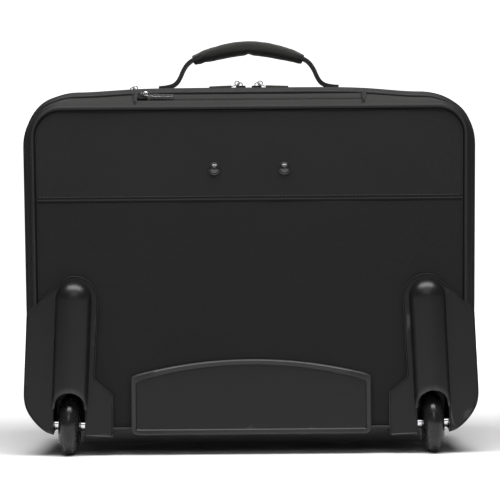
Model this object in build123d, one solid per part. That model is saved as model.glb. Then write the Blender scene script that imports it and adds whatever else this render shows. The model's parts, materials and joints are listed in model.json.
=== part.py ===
"""Rolling laptop case: soft fabric case on two inline wheels, with a telescopic trolley handle.

Millimetres, +Z up, floor at z = 0. The rear (wheeled) face looks towards -Y and the front lid
towards +Y. The origin is the middle of the footprint. Each sub-part is written to parts/NAME.step.
"""
import os
from math import atan2, cos, degrees, radians

from build123d import *

os.makedirs("parts", exist_ok=True)

# ---- soft case: outlines are (half width at the bottom, half width at the top, z low, z high,
# ---- top corner radius, bottom corner radius)
FABRIC = 2.0
CASE_OUTLINE = (216.0, 220.0, 22.0, 359.0, 54.0, 38.0)
SEAM_OUTLINE = (214.8, 218.8, 22.8, 355.0, 51.0, 36.0)
REAR_OUTLINE = (208.0, 211.0, 25.0, 337.0, 28.0, 20.0)
PANEL_OUTLINE = (205.5, 208.5, 28.0, 334.0, 25.5, 17.5)
LID_OUTLINE = (206.0, 211.0, 47.0, 350.0, 48.0, 30.0)

PANEL_FACE_Y = -87.3
PANEL_BACK_Y = -85.4
BOARD_BACK_Y = -82.9
SEAM_Y = -51.0
SEAM_PIPING_HALF = 1.0
CASE_FRONT_Y = 60.0
YOKE_Z = 248.0
PARTITION_T = 2.0
DIVIDER_Y = (-4.0, 0.0)
PIPING = 3.0

# ---- zips
REAR_SLOT = (112.0, -80.0, -54.0)       # half length, rear edge, front edge of the trolley slot
LAPTOP_SLOT = (206.0, -38.0, -22.0)
LAPTOP_SLOT_LOW = 290.0
LIP_T = 1.2
SLIDER_GAP = 0.3
REAR_ZIP_X = -104.0
LAPTOP_SLIDER_X = 8.0
LAPTOP_ZIP_Y = -30.0
MAIN_ZIP_X = -120.0
SLIDER = (10.0, 8.0, 2.6)
PULLER = (30.0, 6.0, 1.4)
PULLER_AXIS = (1.95, 4.2)                # from the slider's middle, above the tape
BRIDGE = (-1.2, 4.0, 6.2)               # from, to, top
BRIDGE_EYE = 2.5

# ---- wheels
WHEEL_R = 30.0
TYRE_HALF_W = 10.5
HUB_R = 17.0
BEARING_R = 11.0
BEARING_BORE_R = 4.0
BEARING_W = 7.0
AXLE_R = 3.97
AXLE_X = 177.0
AXLE_Y = -75.0
LEAN = 2.65                             # both wheels and guards lean in at the top
AXLE_Z = 29.979
SPACER = (10.7, 15.3, 5.0)              # from, to, radius

# ---- wheel guards, measured from the axle centre
GUARD_T = 3.0
GUARD_FACE_Y = PANEL_FACE_Y - GUARD_T
BULGE_R = 16.6
BULGE_TOP = 139.5
BULGE_WALL = 2.4
CUTOUT_HALF = 15.5
CUTOUT_TOP = 32.5
WELL_WALL = 2.5
WELL_FRONT_Y = -41.0
WELL_TOP = 37.0
BOSS_R = 8.0
BOSS_END = 21.0
AXLE_HEAD_R = 6.0
WRAP_T = 2.3
WRAP_FRONT_Y = -53.0

# ---- kick plate and feet
KICK_HALF = 116.8
KICK_Z = (20.0, 77.4, 93.0)             # bottom, corners, top of the arch
KICK_RIM = (5.8, 1.4)
FLANGE = (19.8, 21.8, -58.0)            # z low, z high, front edge
FOOT_RAIL = (176.0, 40.0, 58.0, 22.0)   # half length, y from, y to, height
FOOT_WALL = 3.0
SCREW_AT = [(-8.0, 125.0), (10.0, 95.0), (34.0, 14.0)]      # from the axle centre

# ---- trolley handle
TUBE_X = 52.0
TUBE_Y = -67.0
TUBE_WALL = 1.0
TUBES = [(27.0, 17.0, 34.0, 299.0), (24.0, 14.0, 36.0, 304.4),
         (21.0, 11.0, 38.0, 309.8), (18.0, 8.0, 40.0, 318.0)]
TUBE_REAR_Y = TUBE_Y - TUBES[0][1] / 2
COLLAR_H = 5.0
BEZEL_T = 5.0
GRIP = (70.0, 10.0, 315.2, 326.0, 338.0)    # half length, half depth, bottom, split, top
GRIP_WALL = 2.0
BUTTON = (33.4, 11.4, 339.4)
BAR_Z = (322.5, 326.5)
ROD_R = 1.9
PIN_Z = 52.0
ROD_LOW = PIN_Z + 11.0
PIN_R = 2.0
RIVET = (34.0, 278.0)

# ---- carry handle
HANDLE_Y = 2.0
HANDLE_BASE = (71.0, 360.6)
HANDLE_WIDTH = 24.0
STRAP_T = 2.4
GRIP_ARCH = [(-55.0, 390.0), (0.0, 401.0), (55.0, 390.0)]
GRIP_THICK = 12.0


def block(x0, x1, y0, y1, z0, z1):
    """Box between two corners."""
    size = Box(x1 - x0, y1 - y0, z1 - z0)
    return Pos((x0 + x1) / 2, (y0 + y1) / 2, (z0 + z1) / 2) * size


def upright(y):
    """Plane across the case at y, with sketch x along +X and sketch y along +Z."""
    return Plane(origin=(0, y, 0), x_dir=(1, 0, 0), z_dir=(0, -1, 0))


def slab(sketch, y0, y1):
    """Extrude an X-Z sketch from y0 forward to y1."""
    return extrude(upright(y0) * sketch, amount=y0 - y1)


def round_at(sketch, corners):
    """Fillet the sketch vertices nearest to the given points."""
    for x, y, radius in corners:
        nearest = sketch.vertices().sort_by_distance((x, y, 0))[0]
        sketch = fillet(nearest, radius)
    return sketch


def outline(shape, grow=0.0):
    """Rounded, slightly tapered rectangle, grown outwards by grow."""
    low_half, top_half, z0, z1, r_top, r_low = shape
    low, top = low_half + grow, top_half + grow
    z0, z1 = z0 - grow, z1 + grow
    points = [(-low, z0), (low, z0), (top, z1), (-top, z1)]
    sketch = make_face(Polyline(*points, close=True))
    rounds = [r_low + grow, r_low + grow, r_top + grow, r_top + grow]
    return round_at(sketch, [(x, z, r) for (x, z), r in zip(points, rounds)])


def ring(shape, grow_out, grow_in, y0, y1):
    """Band between two offsets of an outline."""
    return slab(outline(shape, grow_out), y0, y1) - slab(outline(shape, grow_in), y0, y1)


def both_sides(solid):
    """The solid and its mirror image, as separate solids."""
    return Compound(children=[solid, mirror(solid, about=Plane.YZ)])


def rod(radius, x0, x1):
    """Cylinder along X."""
    return Pos((x0 + x1) / 2, 0, 0) * Rot(0, 90, 0) * Cylinder(radius, x1 - x0)


def write(name, shape):
    export_step(shape, f"parts/{name}.step")


# Local frame of the left wheel and guard: x across, z up, y as in the case.
LEFT = Pos(-AXLE_X, 0, AXLE_Z) * Rot(0, LEAN, 0)
AXLE = Pos(-AXLE_X, AXLE_Y, AXLE_Z) * Rot(0, LEAN, 0)


def write_pair(name, left):
    """Write a left-hand part and its mirror image."""
    write(f"{name}_left", left)
    write(f"{name}_right", mirror(left, about=Plane.YZ))


def well_space():
    """Space that both wheel wells take out of the soft case."""
    half = BOSS_END + 0.4
    well = LEFT * block(-half, half, GUARD_FACE_Y, WELL_FRONT_Y + 0.4, -32, WELL_TOP + 0.4)
    return well + mirror(well, about=Plane.YZ)


# ---------------------------------------------------------------- wheel guards
def guard_outline():
    edge = Polyline((-44, 28), (-44, 106.3), (-6.5, 145.2), (24.2, 145.2), (23.2, 46), (41.5, 31.5),
                    (43.3, -10), (-15.5, -10), (-15.5, -7.2))
    corner = ThreePointArc((-15.5, -7.2), (-35.5, 5.5), (-44, 28))
    face = make_face([edge, corner])
    return round_at(face, [(-44, 106.3, 3), (-6.5, 145.2, 14), (24.2, 145.2, 24), (23.2, 46, 6),
                           (41.5, 31.5, 4), (43.3, -10, 1.5)])


def cutout():
    """Arched opening that the wheel shows through."""
    middle = CUTOUT_TOP - CUTOUT_HALF
    arch = Pos(0, middle) * Circle(CUTOUT_HALF)
    return arch + Pos(0, (middle - 45) / 2) * Rectangle(2 * CUTOUT_HALF, middle + 45)


def bulge(radius, top, low):
    """Domed half-round rib, its middle on the face of the panel."""
    stem = Pos(0, PANEL_FACE_Y, (top - radius + low) / 2) * Cylinder(radius, top - radius - low)
    dome = Pos(0, PANEL_FACE_Y, top - radius) * Sphere(radius)
    return stem + dome


def wheel_well():
    """Housing behind the face: two side walls with axle bosses, a roof and a front wall."""
    outer = CUTOUT_HALF + WELL_WALL
    shell = block(-outer, outer, PANEL_FACE_Y, WELL_FRONT_Y, -9, WELL_TOP)
    front, top = WELL_FRONT_Y - WELL_WALL, WELL_TOP - WELL_WALL
    shell -= block(-CUTOUT_HALF, CUTOUT_HALF, PANEL_FACE_Y, front, -9, top)
    for side in (-1, 1):
        ends = sorted((side * outer, side * BOSS_END))
        shell += Pos(0, AXLE_Y, 0) * rod(BOSS_R, *ends)
        head = sorted((side * outer, side * (BOSS_END + 1)))
        shell -= Pos(0, AXLE_Y, 0) * rod(AXLE_HEAD_R + 0.05, *head)
    return shell - Pos(0, AXLE_Y, 0) * rod(AXLE_R + 0.03, -outer - 1, outer + 1)


def guard(case_solid):
    face = slab(guard_outline(), GUARD_FACE_Y, PANEL_FACE_Y)
    rim = slab(guard_outline() - offset(guard_outline(), -2.0), GUARD_FACE_Y - 1.0, GUARD_FACE_Y)
    in_front = block(-60, 60, -130, PANEL_FACE_Y, -60, 200)
    rib = bulge(BULGE_R, BULGE_TOP, -7) & in_front
    hollow = bulge(BULGE_R - BULGE_WALL, BULGE_TOP - BULGE_WALL, -8) & in_front
    wheel_gap = slab(cutout(), -130, PANEL_FACE_Y)
    shell = face + rim + rib - hollow - wheel_gap + wheel_well()
    wall = slab(guard_outline() - offset(guard_outline(), -WRAP_T), PANEL_FACE_Y, WRAP_FRONT_Y)
    wall &= block(-60, -26, -130, 0, -60, 118)
    under = block(17, 42, PANEL_FACE_Y, FLANGE[2], -10.2, -8.2)
    behind_face = slab(outline(PANEL_OUTLINE, PIPING), PANEL_FACE_Y, PANEL_BACK_Y)
    wrap = (LEFT * (wall + under)) - case_solid - behind_face
    return LEFT * shell + wrap


# ---------------------------------------------------------------- soft case
def tapered(grow):
    """Rear part of the case, from the rear outline forward to the seam."""
    back = upright(PANEL_BACK_Y) * outline(REAR_OUTLINE, grow)
    front = upright(SEAM_Y - SEAM_PIPING_HALF) * outline(SEAM_OUTLINE, grow)
    return loft([back.face(), front.face()])


def rear_slot(low=300.0):
    half, y0, y1 = REAR_SLOT
    return block(-half, half, y0, y1, low, 400)


def laptop_slot():
    half, y0, y1 = LAPTOP_SLOT
    return block(-half, half, y0, y1, LAPTOP_SLOT_LOW, 400)


wells = well_space()
rear_solid = tapered(0.0)
front_solid = slab(outline(CASE_OUTLINE), SEAM_Y + SEAM_PIPING_HALF, CASE_FRONT_Y)

rivet_at = [(side * RIVET[0], RIVET[1]) for side in (-1, 1)]
screw_spots = [LEFT * Pos(u, 0, w) for u, w in SCREW_AT]


def y_rod(radius, y0, y1):
    return Pos(0, (y0 + y1) / 2, 0) * Rot(90, 0, 0) * Cylinder(radius, y1 - y0)


def at_rivets(radius, y0, y1):
    return [Pos(x, 0, z) * y_rod(radius, y0, y1) for x, z in rivet_at]


def at_screws(radius, y0, y1):
    left = [spot * y_rod(radius, y0, y1) for spot in screw_spots]
    return left + [mirror(each, about=Plane.YZ) for each in left]


def soft_panels():
    face = slab(outline(PANEL_OUTLINE), PANEL_FACE_Y, PANEL_BACK_Y) - wells
    face -= at_screws(1.75, -95, -80)
    face -= at_rivets(2.0, -95, -80)
    write("rear_panel_lower", face & block(-250, 250, -100, 0, 0, YOKE_Z))
    write("rear_panel_yoke", face & block(-250, 250, -100, 0, YOKE_Z, 400))
    piping = ring(PANEL_OUTLINE, PIPING, 0.0, PANEL_FACE_Y - 0.8, PANEL_BACK_Y) - wells
    guard_face = LEFT * slab(guard_outline(), GUARD_FACE_Y, PANEL_FACE_Y)
    kick_face = slab(kick_outline(), GUARD_FACE_Y, PANEL_FACE_Y)
    piping -= [guard_face, mirror(guard_face, about=Plane.YZ), kick_face]
    write("rear_piping", piping)
    board = slab(outline(PANEL_OUTLINE, -5), PANEL_BACK_Y, BOARD_BACK_Y) - wells
    board -= at_screws(1.75, -95, -80)
    write("rear_board", board - at_rivets(2.0, -95, -80))
    write("rear_gusset", rear_solid - tapered(-FABRIC) - rear_slot() - wells)
    lips = (rear_solid - tapered(-LIP_T)) & rear_slot()
    gap = block(-REAR_SLOT[0] + 4, REAR_SLOT[0] - 4, TUBE_Y - 0.3, TUBE_Y + 0.3, 300, 400)
    write("rear_zip_lips", lips - gap)
    seam = ring(SEAM_OUTLINE, 2.2, -1.0, SEAM_Y - SEAM_PIPING_HALF, SEAM_Y + SEAM_PIPING_HALF)
    write("seam_piping", seam - wells)
    walls = front_solid - slab(outline(CASE_OUTLINE, -FABRIC), -60, 70)
    write("main_gusset", walls - laptop_slot() - wells)
    thin = front_solid - slab(outline(CASE_OUTLINE, -LIP_T), -60, 70)
    middle = block(-200, 200, LAPTOP_ZIP_Y - 0.3, LAPTOP_ZIP_Y + 0.3, 295, 400)
    write("laptop_zip_lips", (thin & laptop_slot()) - middle)
    inner = outline(CASE_OUTLINE, -FABRIC - 0.3)
    back_y = SEAM_Y + SEAM_PIPING_HALF
    write("trolley_partition", slab(inner, back_y, back_y + PARTITION_T) - wells)
    divider = slab(inner, *DIVIDER_Y) & block(-250, 250, -10, 10, 27, 400)
    write("inner_divider", divider)
    floor = block(-176, 176, back_y + PARTITION_T, 57.5, 24.3, 26.8)
    sill = block(-176, 176, 57.5, 59.8, 24.3, 44.0)
    write("bottom_board", floor + sill - wells)
    write("main_zip_tape", ring(CASE_OUTLINE, -2.5, -6.0, CASE_FRONT_Y, CASE_FRONT_Y + 2.0)
          - block(-250, 250, 50, 70, 0, 47))


# ---------------------------------------------------------------- front lid
def front_lid():
    y0, y1 = CASE_FRONT_Y + 2.3, 103.0
    write("lid_gusset", ring(LID_OUTLINE, 0.0, -FABRIC, y0, y1))
    write("lid_panel", slab(outline(LID_OUTLINE), y1, y1 + 1.5))
    write("lid_piping", ring(LID_OUTLINE, 1.8, 0.0, y1 - 1.5, 105.0))
    pocket = Pos(0, 145) * RectangleRounded(340, 160, 12)
    write("lid_organiser", slab(pocket, y1 - 1.6, y1))


# ---------------------------------------------------------------- hard trim
def kick_outline():
    low, corner, top = KICK_Z
    sides = Polyline((-KICK_HALF, corner), (-KICK_HALF, low), (KICK_HALF, low), (KICK_HALF, corner))
    arch = ThreePointArc((-KICK_HALF, corner), (0, top), (KICK_HALF, corner))
    corners = [(side * KICK_HALF, z, 6) for side in (-1, 1) for z in (low, corner)]
    return round_at(make_face([sides, arch]), corners)


def kick_plate():
    face = kick_outline()
    rim_w, rim_t = KICK_RIM
    plate = slab(face, GUARD_FACE_Y, PANEL_FACE_Y)
    plate += slab(face - offset(face, -rim_w), GUARD_FACE_Y - rim_t, GUARD_FACE_Y)
    flange = block(-KICK_HALF + 8, KICK_HALF - 8, PANEL_FACE_Y, FLANGE[2], FLANGE[0] + 0.4, FLANGE[1])
    write("kick_plate", plate + flange)


def foot_rail():
    half, y0, y1, height = FOOT_RAIL
    rail = block(-half, half, y0, y1, 0, height)
    rail = fillet(rail.edges().filter_by(Axis.Z), 5)
    inside = block(-half + FOOT_WALL, half - FOOT_WALL, y0 + FOOT_WALL, y1 - FOOT_WALL, FOOT_WALL, height)
    write("front_foot", rail - fillet(inside.edges().filter_by(Axis.Z), 2))


def fasteners():
    heads = [Pos(x, PANEL_FACE_Y, z) * Sphere(6.2) for x, z in rivet_at]
    outside = block(-60, 60, PANEL_FACE_Y - 2.4, PANEL_FACE_Y, 250, 300)
    tails = at_rivets(3.5, TUBE_REAR_Y, TUBE_REAR_Y + 1.5)
    shafts = at_rivets(2.0, PANEL_FACE_Y, TUBE_REAR_Y)
    rivets = [(head & outside) + shaft + tail for head, shaft, tail in zip(heads, shafts, tails)]
    write("panel_rivets", Compound(children=rivets))
    screws = [shaft + head for shaft, head in zip(at_screws(1.75, PANEL_FACE_Y, BOARD_BACK_Y),
                                                  at_screws(3.5, BOARD_BACK_Y, BOARD_BACK_Y + 2))]
    write("guard_screws", Compound(children=screws))


# ---------------------------------------------------------------- wheels
def wheels():
    shoulder = WHEEL_R - TYRE_HALF_W
    tread = ThreePointArc((-TYRE_HALF_W, shoulder), (0, WHEEL_R), (TYRE_HALF_W, shoulder))
    sides = Polyline((TYRE_HALF_W, shoulder), (TYRE_HALF_W - 1, HUB_R), (1 - TYRE_HALF_W, HUB_R),
                     (-TYRE_HALF_W, shoulder))
    write_pair("tyre", AXLE * revolve(make_face([tread, sides]), Axis.X))
    hub = rod(HUB_R, -TYRE_HALF_W + 1, TYRE_HALF_W - 1) - rod(6.0, -20, 20)
    middle = TYRE_HALF_W - 1 - BEARING_W
    for side in (-1, 1):
        hub -= rod(BEARING_R, *sorted((side * middle, side * 20)))
    write_pair("hub", AXLE * hub)
    bearing = rod(BEARING_R, middle, middle + BEARING_W) - rod(BEARING_BORE_R, -20, 20)
    groove = rod(9.4, middle + BEARING_W - 0.6, 20) - rod(6.0, -20, 20)
    bearing -= groove
    write_pair("bearings", AXLE * Compound(children=[bearing, mirror(bearing, about=Plane.YZ)]))
    pin = rod(AXLE_R, -CUTOUT_HALF - WELL_WALL, CUTOUT_HALF + WELL_WALL)
    for side in (-1, 1):
        pin += rod(AXLE_HEAD_R, *sorted((side * (CUTOUT_HALF + WELL_WALL), side * BOSS_END)))
    write("axles", both_sides(AXLE * pin))
    spacer = rod(SPACER[2], SPACER[0], SPACER[1]) - rod(AXLE_R + 0.03, 0, 20)
    pair = [AXLE * spacer, AXLE * mirror(spacer, about=Plane.YZ)]
    write("axle_spacers", Compound(children=pair + [mirror(each, about=Plane.YZ) for each in pair]))


# ---------------------------------------------------------------- trolley handle
def tube(width, depth, z0, z1):
    sketch = Rectangle(width, depth)
    sketch = fillet(sketch.vertices(), 2.5)
    return Pos(TUBE_X, TUBE_Y, z0) * extrude(sketch, amount=z1 - z0)


def hollow_tube(width, depth, z0, z1):
    inside = 2 * TUBE_WALL
    return tube(width, depth, z0, z1) - tube(width - inside, depth - inside, z0, z1)


def trolley_frame():
    write("trolley_outer_tubes", both_sides(hollow_tube(*TUBES[0])))
    width, depth, low, top = TUBES[0]
    base = block(-72, 72, BOARD_BACK_Y, -56, low - 4, low + 14)
    seat = tube(width, depth, low, low + 20)
    write("trolley_base_bracket", base - seat - mirror(seat, about=Plane.YZ))
    bezel = block(-72, 72, BOARD_BACK_Y, -55, top, top + BEZEL_T)
    hole = tube(TUBES[1][0] + 0.5, TUBES[1][1] + 0.5, top - 1, top + 10)
    write("trolley_bezel", bezel - hole - mirror(hole, about=Plane.YZ))
    bracket = block(-66, 66, BOARD_BACK_Y, TUBE_REAR_Y, RIVET[1] - 11, RIVET[1] + 11)
    write("trolley_cross_bracket", bracket - at_rivets(2.0, -95, -60))


def lock_hole(radius):
    return Pos(TUBE_X, TUBE_Y, PIN_Z) * rod(radius, 0, 12)


def trolley_stages():
    write("stage1_tubes", both_sides(hollow_tube(*TUBES[1])))
    write("stage2_tubes", both_sides(hollow_tube(*TUBES[2])))
    write("stage3_tubes", both_sides(hollow_tube(*TUBES[3]) - lock_hole(PIN_R + 0.04)))
    for stage in (1, 2):
        width, depth, _, top = TUBES[stage]
        inner_w, inner_d = TUBES[stage + 1][:2]
        collar = tube(width + 2, depth + 2, top, top + COLLAR_H)
        collar -= tube(inner_w + 0.5, inner_d + 0.5, top - 1, top + COLLAR_H + 1)
        write(f"stage{stage}_collars", both_sides(collar))
    width, depth = TUBES[3][0] - 2 * TUBE_WALL, TUBES[3][1] - 2 * TUBE_WALL
    lock = tube(width, depth, PIN_Z - 6, PIN_Z + 6)
    lock -= Pos(TUBE_X, TUBE_Y, PIN_Z) * rod(PIN_R + 0.04, -4, 12)
    write("lock_blocks", both_sides(lock))
    write_pair("lock_pin", mirror(Pos(TUBE_X, TUBE_Y, PIN_Z) * rod(PIN_R, 1.0, 8.9), about=Plane.YZ))


def grip():
    half, half_d, low, split, top = GRIP
    body = block(-half, half, TUBE_Y - half_d, TUBE_Y + half_d, low, top)
    body = fillet(body.edges().filter_by(Axis.Z), 8)
    body = fillet(body.faces().sort_by(Axis.Z)[-1].edges(), 4)
    wall = GRIP_WALL
    deep = half_d - wall
    core = block(-half + wall, half - wall, TUBE_Y - deep, TUBE_Y + deep, low + 2.2, top - wall)
    core = fillet(core.edges().filter_by(Axis.Z), 6)
    core = fillet(core.faces().sort_by(Axis.Z)[-1].edges(), 2.5)
    shell = body - core
    holes = tube(*TUBES[3][:2], 300, 330)
    lower = (shell & block(-90, 90, -90, -40, 0, split)) - holes - mirror(holes, about=Plane.YZ)
    write("grip_lower_shell", lower)
    width, depth, button_top = BUTTON
    window = Pos(0, TUBE_Y, split) * extrude(RectangleRounded(width + 0.6, depth + 0.6, 3), amount=40)
    write("grip_upper_shell", (shell & block(-90, 90, -90, -40, split, 400)) - window)
    cap = Pos(0, TUBE_Y, 331) * extrude(RectangleRounded(width, depth, 2.8), amount=button_top - 331)
    cap = fillet(cap.faces().sort_by(Axis.Z)[-1].edges(), 1.5)
    flange = block(-19, 19, TUBE_Y - 7, TUBE_Y + 7, 329.5, 331)
    stem = block(-6, 6, TUBE_Y - 3, TUBE_Y + 3, BAR_Z[1], 329.5)
    write("release_button", cap + flange + stem)
    bar = block(-60, 60, TUBE_Y - 2.5, TUBE_Y + 2.5, *BAR_Z)
    push = Pos(TUBE_X, TUBE_Y, (ROD_LOW + BAR_Z[0]) / 2) * Cylinder(ROD_R, BAR_Z[0] - ROD_LOW)
    write("release_rods", bar + push + mirror(push, about=Plane.YZ))
    coil = Helix(pitch=1.2, height=3.6, radius=2.6)
    wire = Plane(origin=coil @ 0, z_dir=coil % 0) * Circle(0.4)
    write("button_spring", Pos(0, TUBE_Y, low + 2.2 + 0.5) * sweep(wire, path=coil))


# ---------------------------------------------------------------- carry handle
def carry_handle():
    base_x, base_z = HANDLE_BASE
    half_w = HANDLE_WIDTH / 2
    points = [(base_x, base_z), (66.5, 371), (62.5, 380), (56, 389)]
    outer = [(x + STRAP_T, z + 0.6) for x, z in points]
    leg = make_face(Polyline(*points, *reversed(outer), close=True))
    strap = slab(leg, HANDLE_Y - half_w, HANDLE_Y + half_w)
    pad_solid = slab(make_face(pad_edges()), HANDLE_Y - half_w - 1, HANDLE_Y + half_w + 1)
    pad_solid = fillet(pad_solid.edges().filter_by(Axis.Y), 3.5)
    write("carry_grip", pad_solid)
    write("carry_webbing", both_sides(strap - pad_solid))
    patch = block(base_x - 18, base_x + 14, HANDLE_Y - 15, HANDLE_Y + 15, 359.0, 360.2)
    write("handle_patches", both_sides(patch))


def pad_edges():
    """Closed boundary of the padded grip: an arched bar that is thinner at its ends."""
    (x0, z0), (_, zm), (x1, z1) = GRIP_ARCH
    end_half = GRIP_THICK / 2 - 1.5
    mid_half = GRIP_THICK / 2
    upper = ThreePointArc((x0, z0 + end_half), (0, zm + mid_half), (x1, z1 + end_half))
    lower = ThreePointArc((x1, z1 - end_half), (0, zm - mid_half), (x0, z0 - end_half))
    right = Line((x1, z1 + end_half), (x1, z1 - end_half))
    left = Line((x0, z0 - end_half), (x0, z0 + end_half))
    return [upper, right, lower, left]


# ---------------------------------------------------------------- zip sliders
def slider_and_puller(place, side):
    """Slider with a low bridge; the puller lies flat towards +X for side 1 and -X for side -1."""
    length, width, height = SLIDER
    reach, puller_w, puller_t = PULLER
    body = Pos(0, 0, height / 2) * Box(length, width, height)
    body = fillet(body.edges().filter_by(Axis.Z), 2.5)
    axis_x, axis_z = side * PULLER_AXIS[0], PULLER_AXIS[1]
    near, far, top = BRIDGE
    bridge = block(*sorted((side * near, side * far)), -1.0, 1.0, height, top)
    bridge -= Pos(axis_x, 0, axis_z) * Box(BRIDGE_EYE, 4.0, BRIDGE_EYE)
    start = axis_x - side * 0.75
    tab = Pos(start + side * reach / 2, 0, axis_z) * Box(reach, puller_w, puller_t)
    tab = fillet(tab.edges().filter_by(Axis.Z), 2.0)
    tab -= Pos(start + side * 3.2, 0, axis_z) * Box(3.4, 2.6, 5)
    eye = Pos(start + side * reach * 0.86, 0, axis_z) * Cylinder(1.5, 5)
    return place * (body + bridge), place * (tab - eye)


def zips():
    run = SEAM_Y - SEAM_PIPING_HALF - PANEL_BACK_Y
    rise = SEAM_OUTLINE[3] - REAR_OUTLINE[3]
    tilt = degrees(atan2(rise, run))
    band_z = REAR_OUTLINE[3] + rise * (TUBE_Y - PANEL_BACK_Y) / run
    rear = Pos(REAR_ZIP_X, TUBE_Y, band_z + SLIDER_GAP / cos(radians(tilt))) * Rot(tilt, 0, 0)
    places = {"rear_zip": (rear, 1)}
    top_z = CASE_OUTLINE[3] + SLIDER_GAP
    places["laptop_zip_left"] = (Pos(-LAPTOP_SLIDER_X, LAPTOP_ZIP_Y, top_z), -1)
    places["laptop_zip_right"] = (Pos(LAPTOP_SLIDER_X, LAPTOP_ZIP_Y, top_z), 1)
    places["main_zip"] = (Pos(MAIN_ZIP_X, CASE_FRONT_Y + 1, top_z), 1)
    for name, (place, side) in places.items():
        slider, puller = slider_and_puller(place, side)
        write(f"{name}_slider", slider)
        write(f"{name}_puller", puller)


soft_panels()
front_lid()
kick_plate()
foot_rail()
fasteners()
wheels()
trolley_frame()
trolley_stages()
grip()
carry_handle()
zips()
write_pair("wheel_guard", guard(rear_solid + front_solid))
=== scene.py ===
"""Looks of the rolling laptop case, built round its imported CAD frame.

Shapes are worked out in millimetres and turned into metres when a mesh is made. The case stands on
z = 0 with its wheeled rear face towards -Y.
"""

import json
import math

import bmesh
import bpy
import numpy as np
from mathutils import Matrix, Vector, noise


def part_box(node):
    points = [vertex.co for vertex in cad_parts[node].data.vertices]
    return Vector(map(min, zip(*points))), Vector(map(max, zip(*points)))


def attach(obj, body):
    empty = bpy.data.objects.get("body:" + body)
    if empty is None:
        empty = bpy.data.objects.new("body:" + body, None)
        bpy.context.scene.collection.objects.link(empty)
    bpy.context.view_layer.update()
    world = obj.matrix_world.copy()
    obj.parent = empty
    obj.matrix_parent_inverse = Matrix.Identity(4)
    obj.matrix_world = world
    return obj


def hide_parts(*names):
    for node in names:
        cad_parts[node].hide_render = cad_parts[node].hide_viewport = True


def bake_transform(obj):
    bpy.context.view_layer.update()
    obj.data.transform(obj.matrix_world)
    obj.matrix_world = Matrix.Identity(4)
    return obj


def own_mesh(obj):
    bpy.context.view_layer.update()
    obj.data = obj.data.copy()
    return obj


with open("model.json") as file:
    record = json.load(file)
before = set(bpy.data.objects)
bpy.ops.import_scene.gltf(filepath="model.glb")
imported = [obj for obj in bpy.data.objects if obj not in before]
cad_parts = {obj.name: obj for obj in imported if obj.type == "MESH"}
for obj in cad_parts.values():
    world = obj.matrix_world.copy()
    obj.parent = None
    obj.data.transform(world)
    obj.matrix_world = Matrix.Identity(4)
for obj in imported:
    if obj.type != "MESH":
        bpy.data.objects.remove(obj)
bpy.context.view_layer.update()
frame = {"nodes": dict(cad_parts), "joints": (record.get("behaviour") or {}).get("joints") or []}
NODES = frame["nodes"]
MM = 0.001


def cad_box(node):
    """Lowest and highest corner of a CAD node, in millimetres."""
    low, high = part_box(node)
    return np.array(low) / MM, np.array(high) / MM


# ================================================================ driving sizes, read from the frame
PANEL_LOW, PANEL_HIGH = cad_box("rear_panel_lower")
YOKE_LOW, YOKE_HIGH = cad_box("rear_panel_yoke")
CASE_LOW, CASE_HIGH = cad_box("main_gusset")
LID_LOW, LID_HIGH = cad_box("lid_gusset")
PIPING_HIGH = cad_box("lid_piping")[1]
GRIP_LOW, GRIP_HIGH = cad_box("carry_grip")
KICK_LOW = cad_box("kick_plate")[0]
TYRE_LOW, TYRE_HIGH = cad_box("tyre_left")
PANEL_Y = PANEL_LOW[1]
PANEL_BACK = PANEL_HIGH[1]
CASE_BACK, CASE_FRONT = CASE_LOW[1], CASE_HIGH[1]
YOKE_Z = YOKE_LOW[2]
LEAN = math.radians(2.65)
AXLE_X = 177.0
AXLE_Y = (TYRE_LOW[1] + TYRE_HIGH[1]) / 2
AXLE_Z = (TYRE_LOW[2] + TYRE_HIGH[2]) / 2

# outlines: half width low, half width top, z low, z top, top radius, low radius
CASE = (219.6, 222.6, CASE_LOW[2], CASE_HIGH[2] - 1.2, 54.0, 38.0)
TOP_ZIP = CASE[:3] + (CASE_HIGH[2] - 0.7,) + CASE[4:]
SEAM = (217.2, 220.6, CASE_LOW[2] + 0.8, CASE_HIGH[2] - 6.6, 51.0, 36.0)
REAR = (208.0, 211.0, 25.0, 337.0, 28.0, 20.0)
PANEL = (205.5, 208.5, PANEL_LOW[2], YOKE_HIGH[2] + 1.5, 25.5, 17.5)
LID = (206.0, 211.0, LID_LOW[2], LID_HIGH[2], 48.0, 30.0)


# ================================================================ node materials
def tree_of(name):
    mat = bpy.data.materials.new(name)
    mat.use_nodes = True
    tree = mat.node_tree
    tree.nodes.clear()
    out = tree.nodes.new("ShaderNodeOutputMaterial")
    shader = tree.nodes.new("ShaderNodeBsdfPrincipled")
    tree.links.new(shader.outputs[0], out.inputs[0])
    return mat, tree, shader


def add(tree, kind, inputs=None, **props):
    """New node with its properties and inputs set; a socket given as an input is linked."""
    made = tree.nodes.new(kind)
    for key, value in props.items():
        setattr(made, key, value)
    for key, value in (inputs or {}).items():
        if isinstance(value, bpy.types.NodeSocket):
            tree.links.new(value, made.inputs[key])
        else:
            made.inputs[key].default_value = value
    return made


def maths(tree, op, a, b=0.0):
    return add(tree, "ShaderNodeMath", {0: a, 1: b}, operation=op).outputs[0]


def grey(value):
    return (value, value, value, 1.0)


def tone(color, k):
    return (color[0] * k, color[1] * k, color[2] * k, 1.0)


def position(tree):
    return add(tree, "ShaderNodeTexCoord").outputs["Object"]


def noise_fac(tree, vector, scale, detail=2.0, rough=0.5):
    made = add(tree, "ShaderNodeTexNoise", {"Vector": vector, "Scale": scale, "Detail": detail,
                                            "Roughness": rough})
    return made.outputs["Fac"]


def ramp(tree, value, low, high, to_low=0.0, to_high=1.0):
    made = add(tree, "ShaderNodeMapRange", {"Value": value, "From Min": low, "From Max": high,
                                            "To Min": to_low, "To Max": to_high})
    return made.outputs["Result"]


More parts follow.
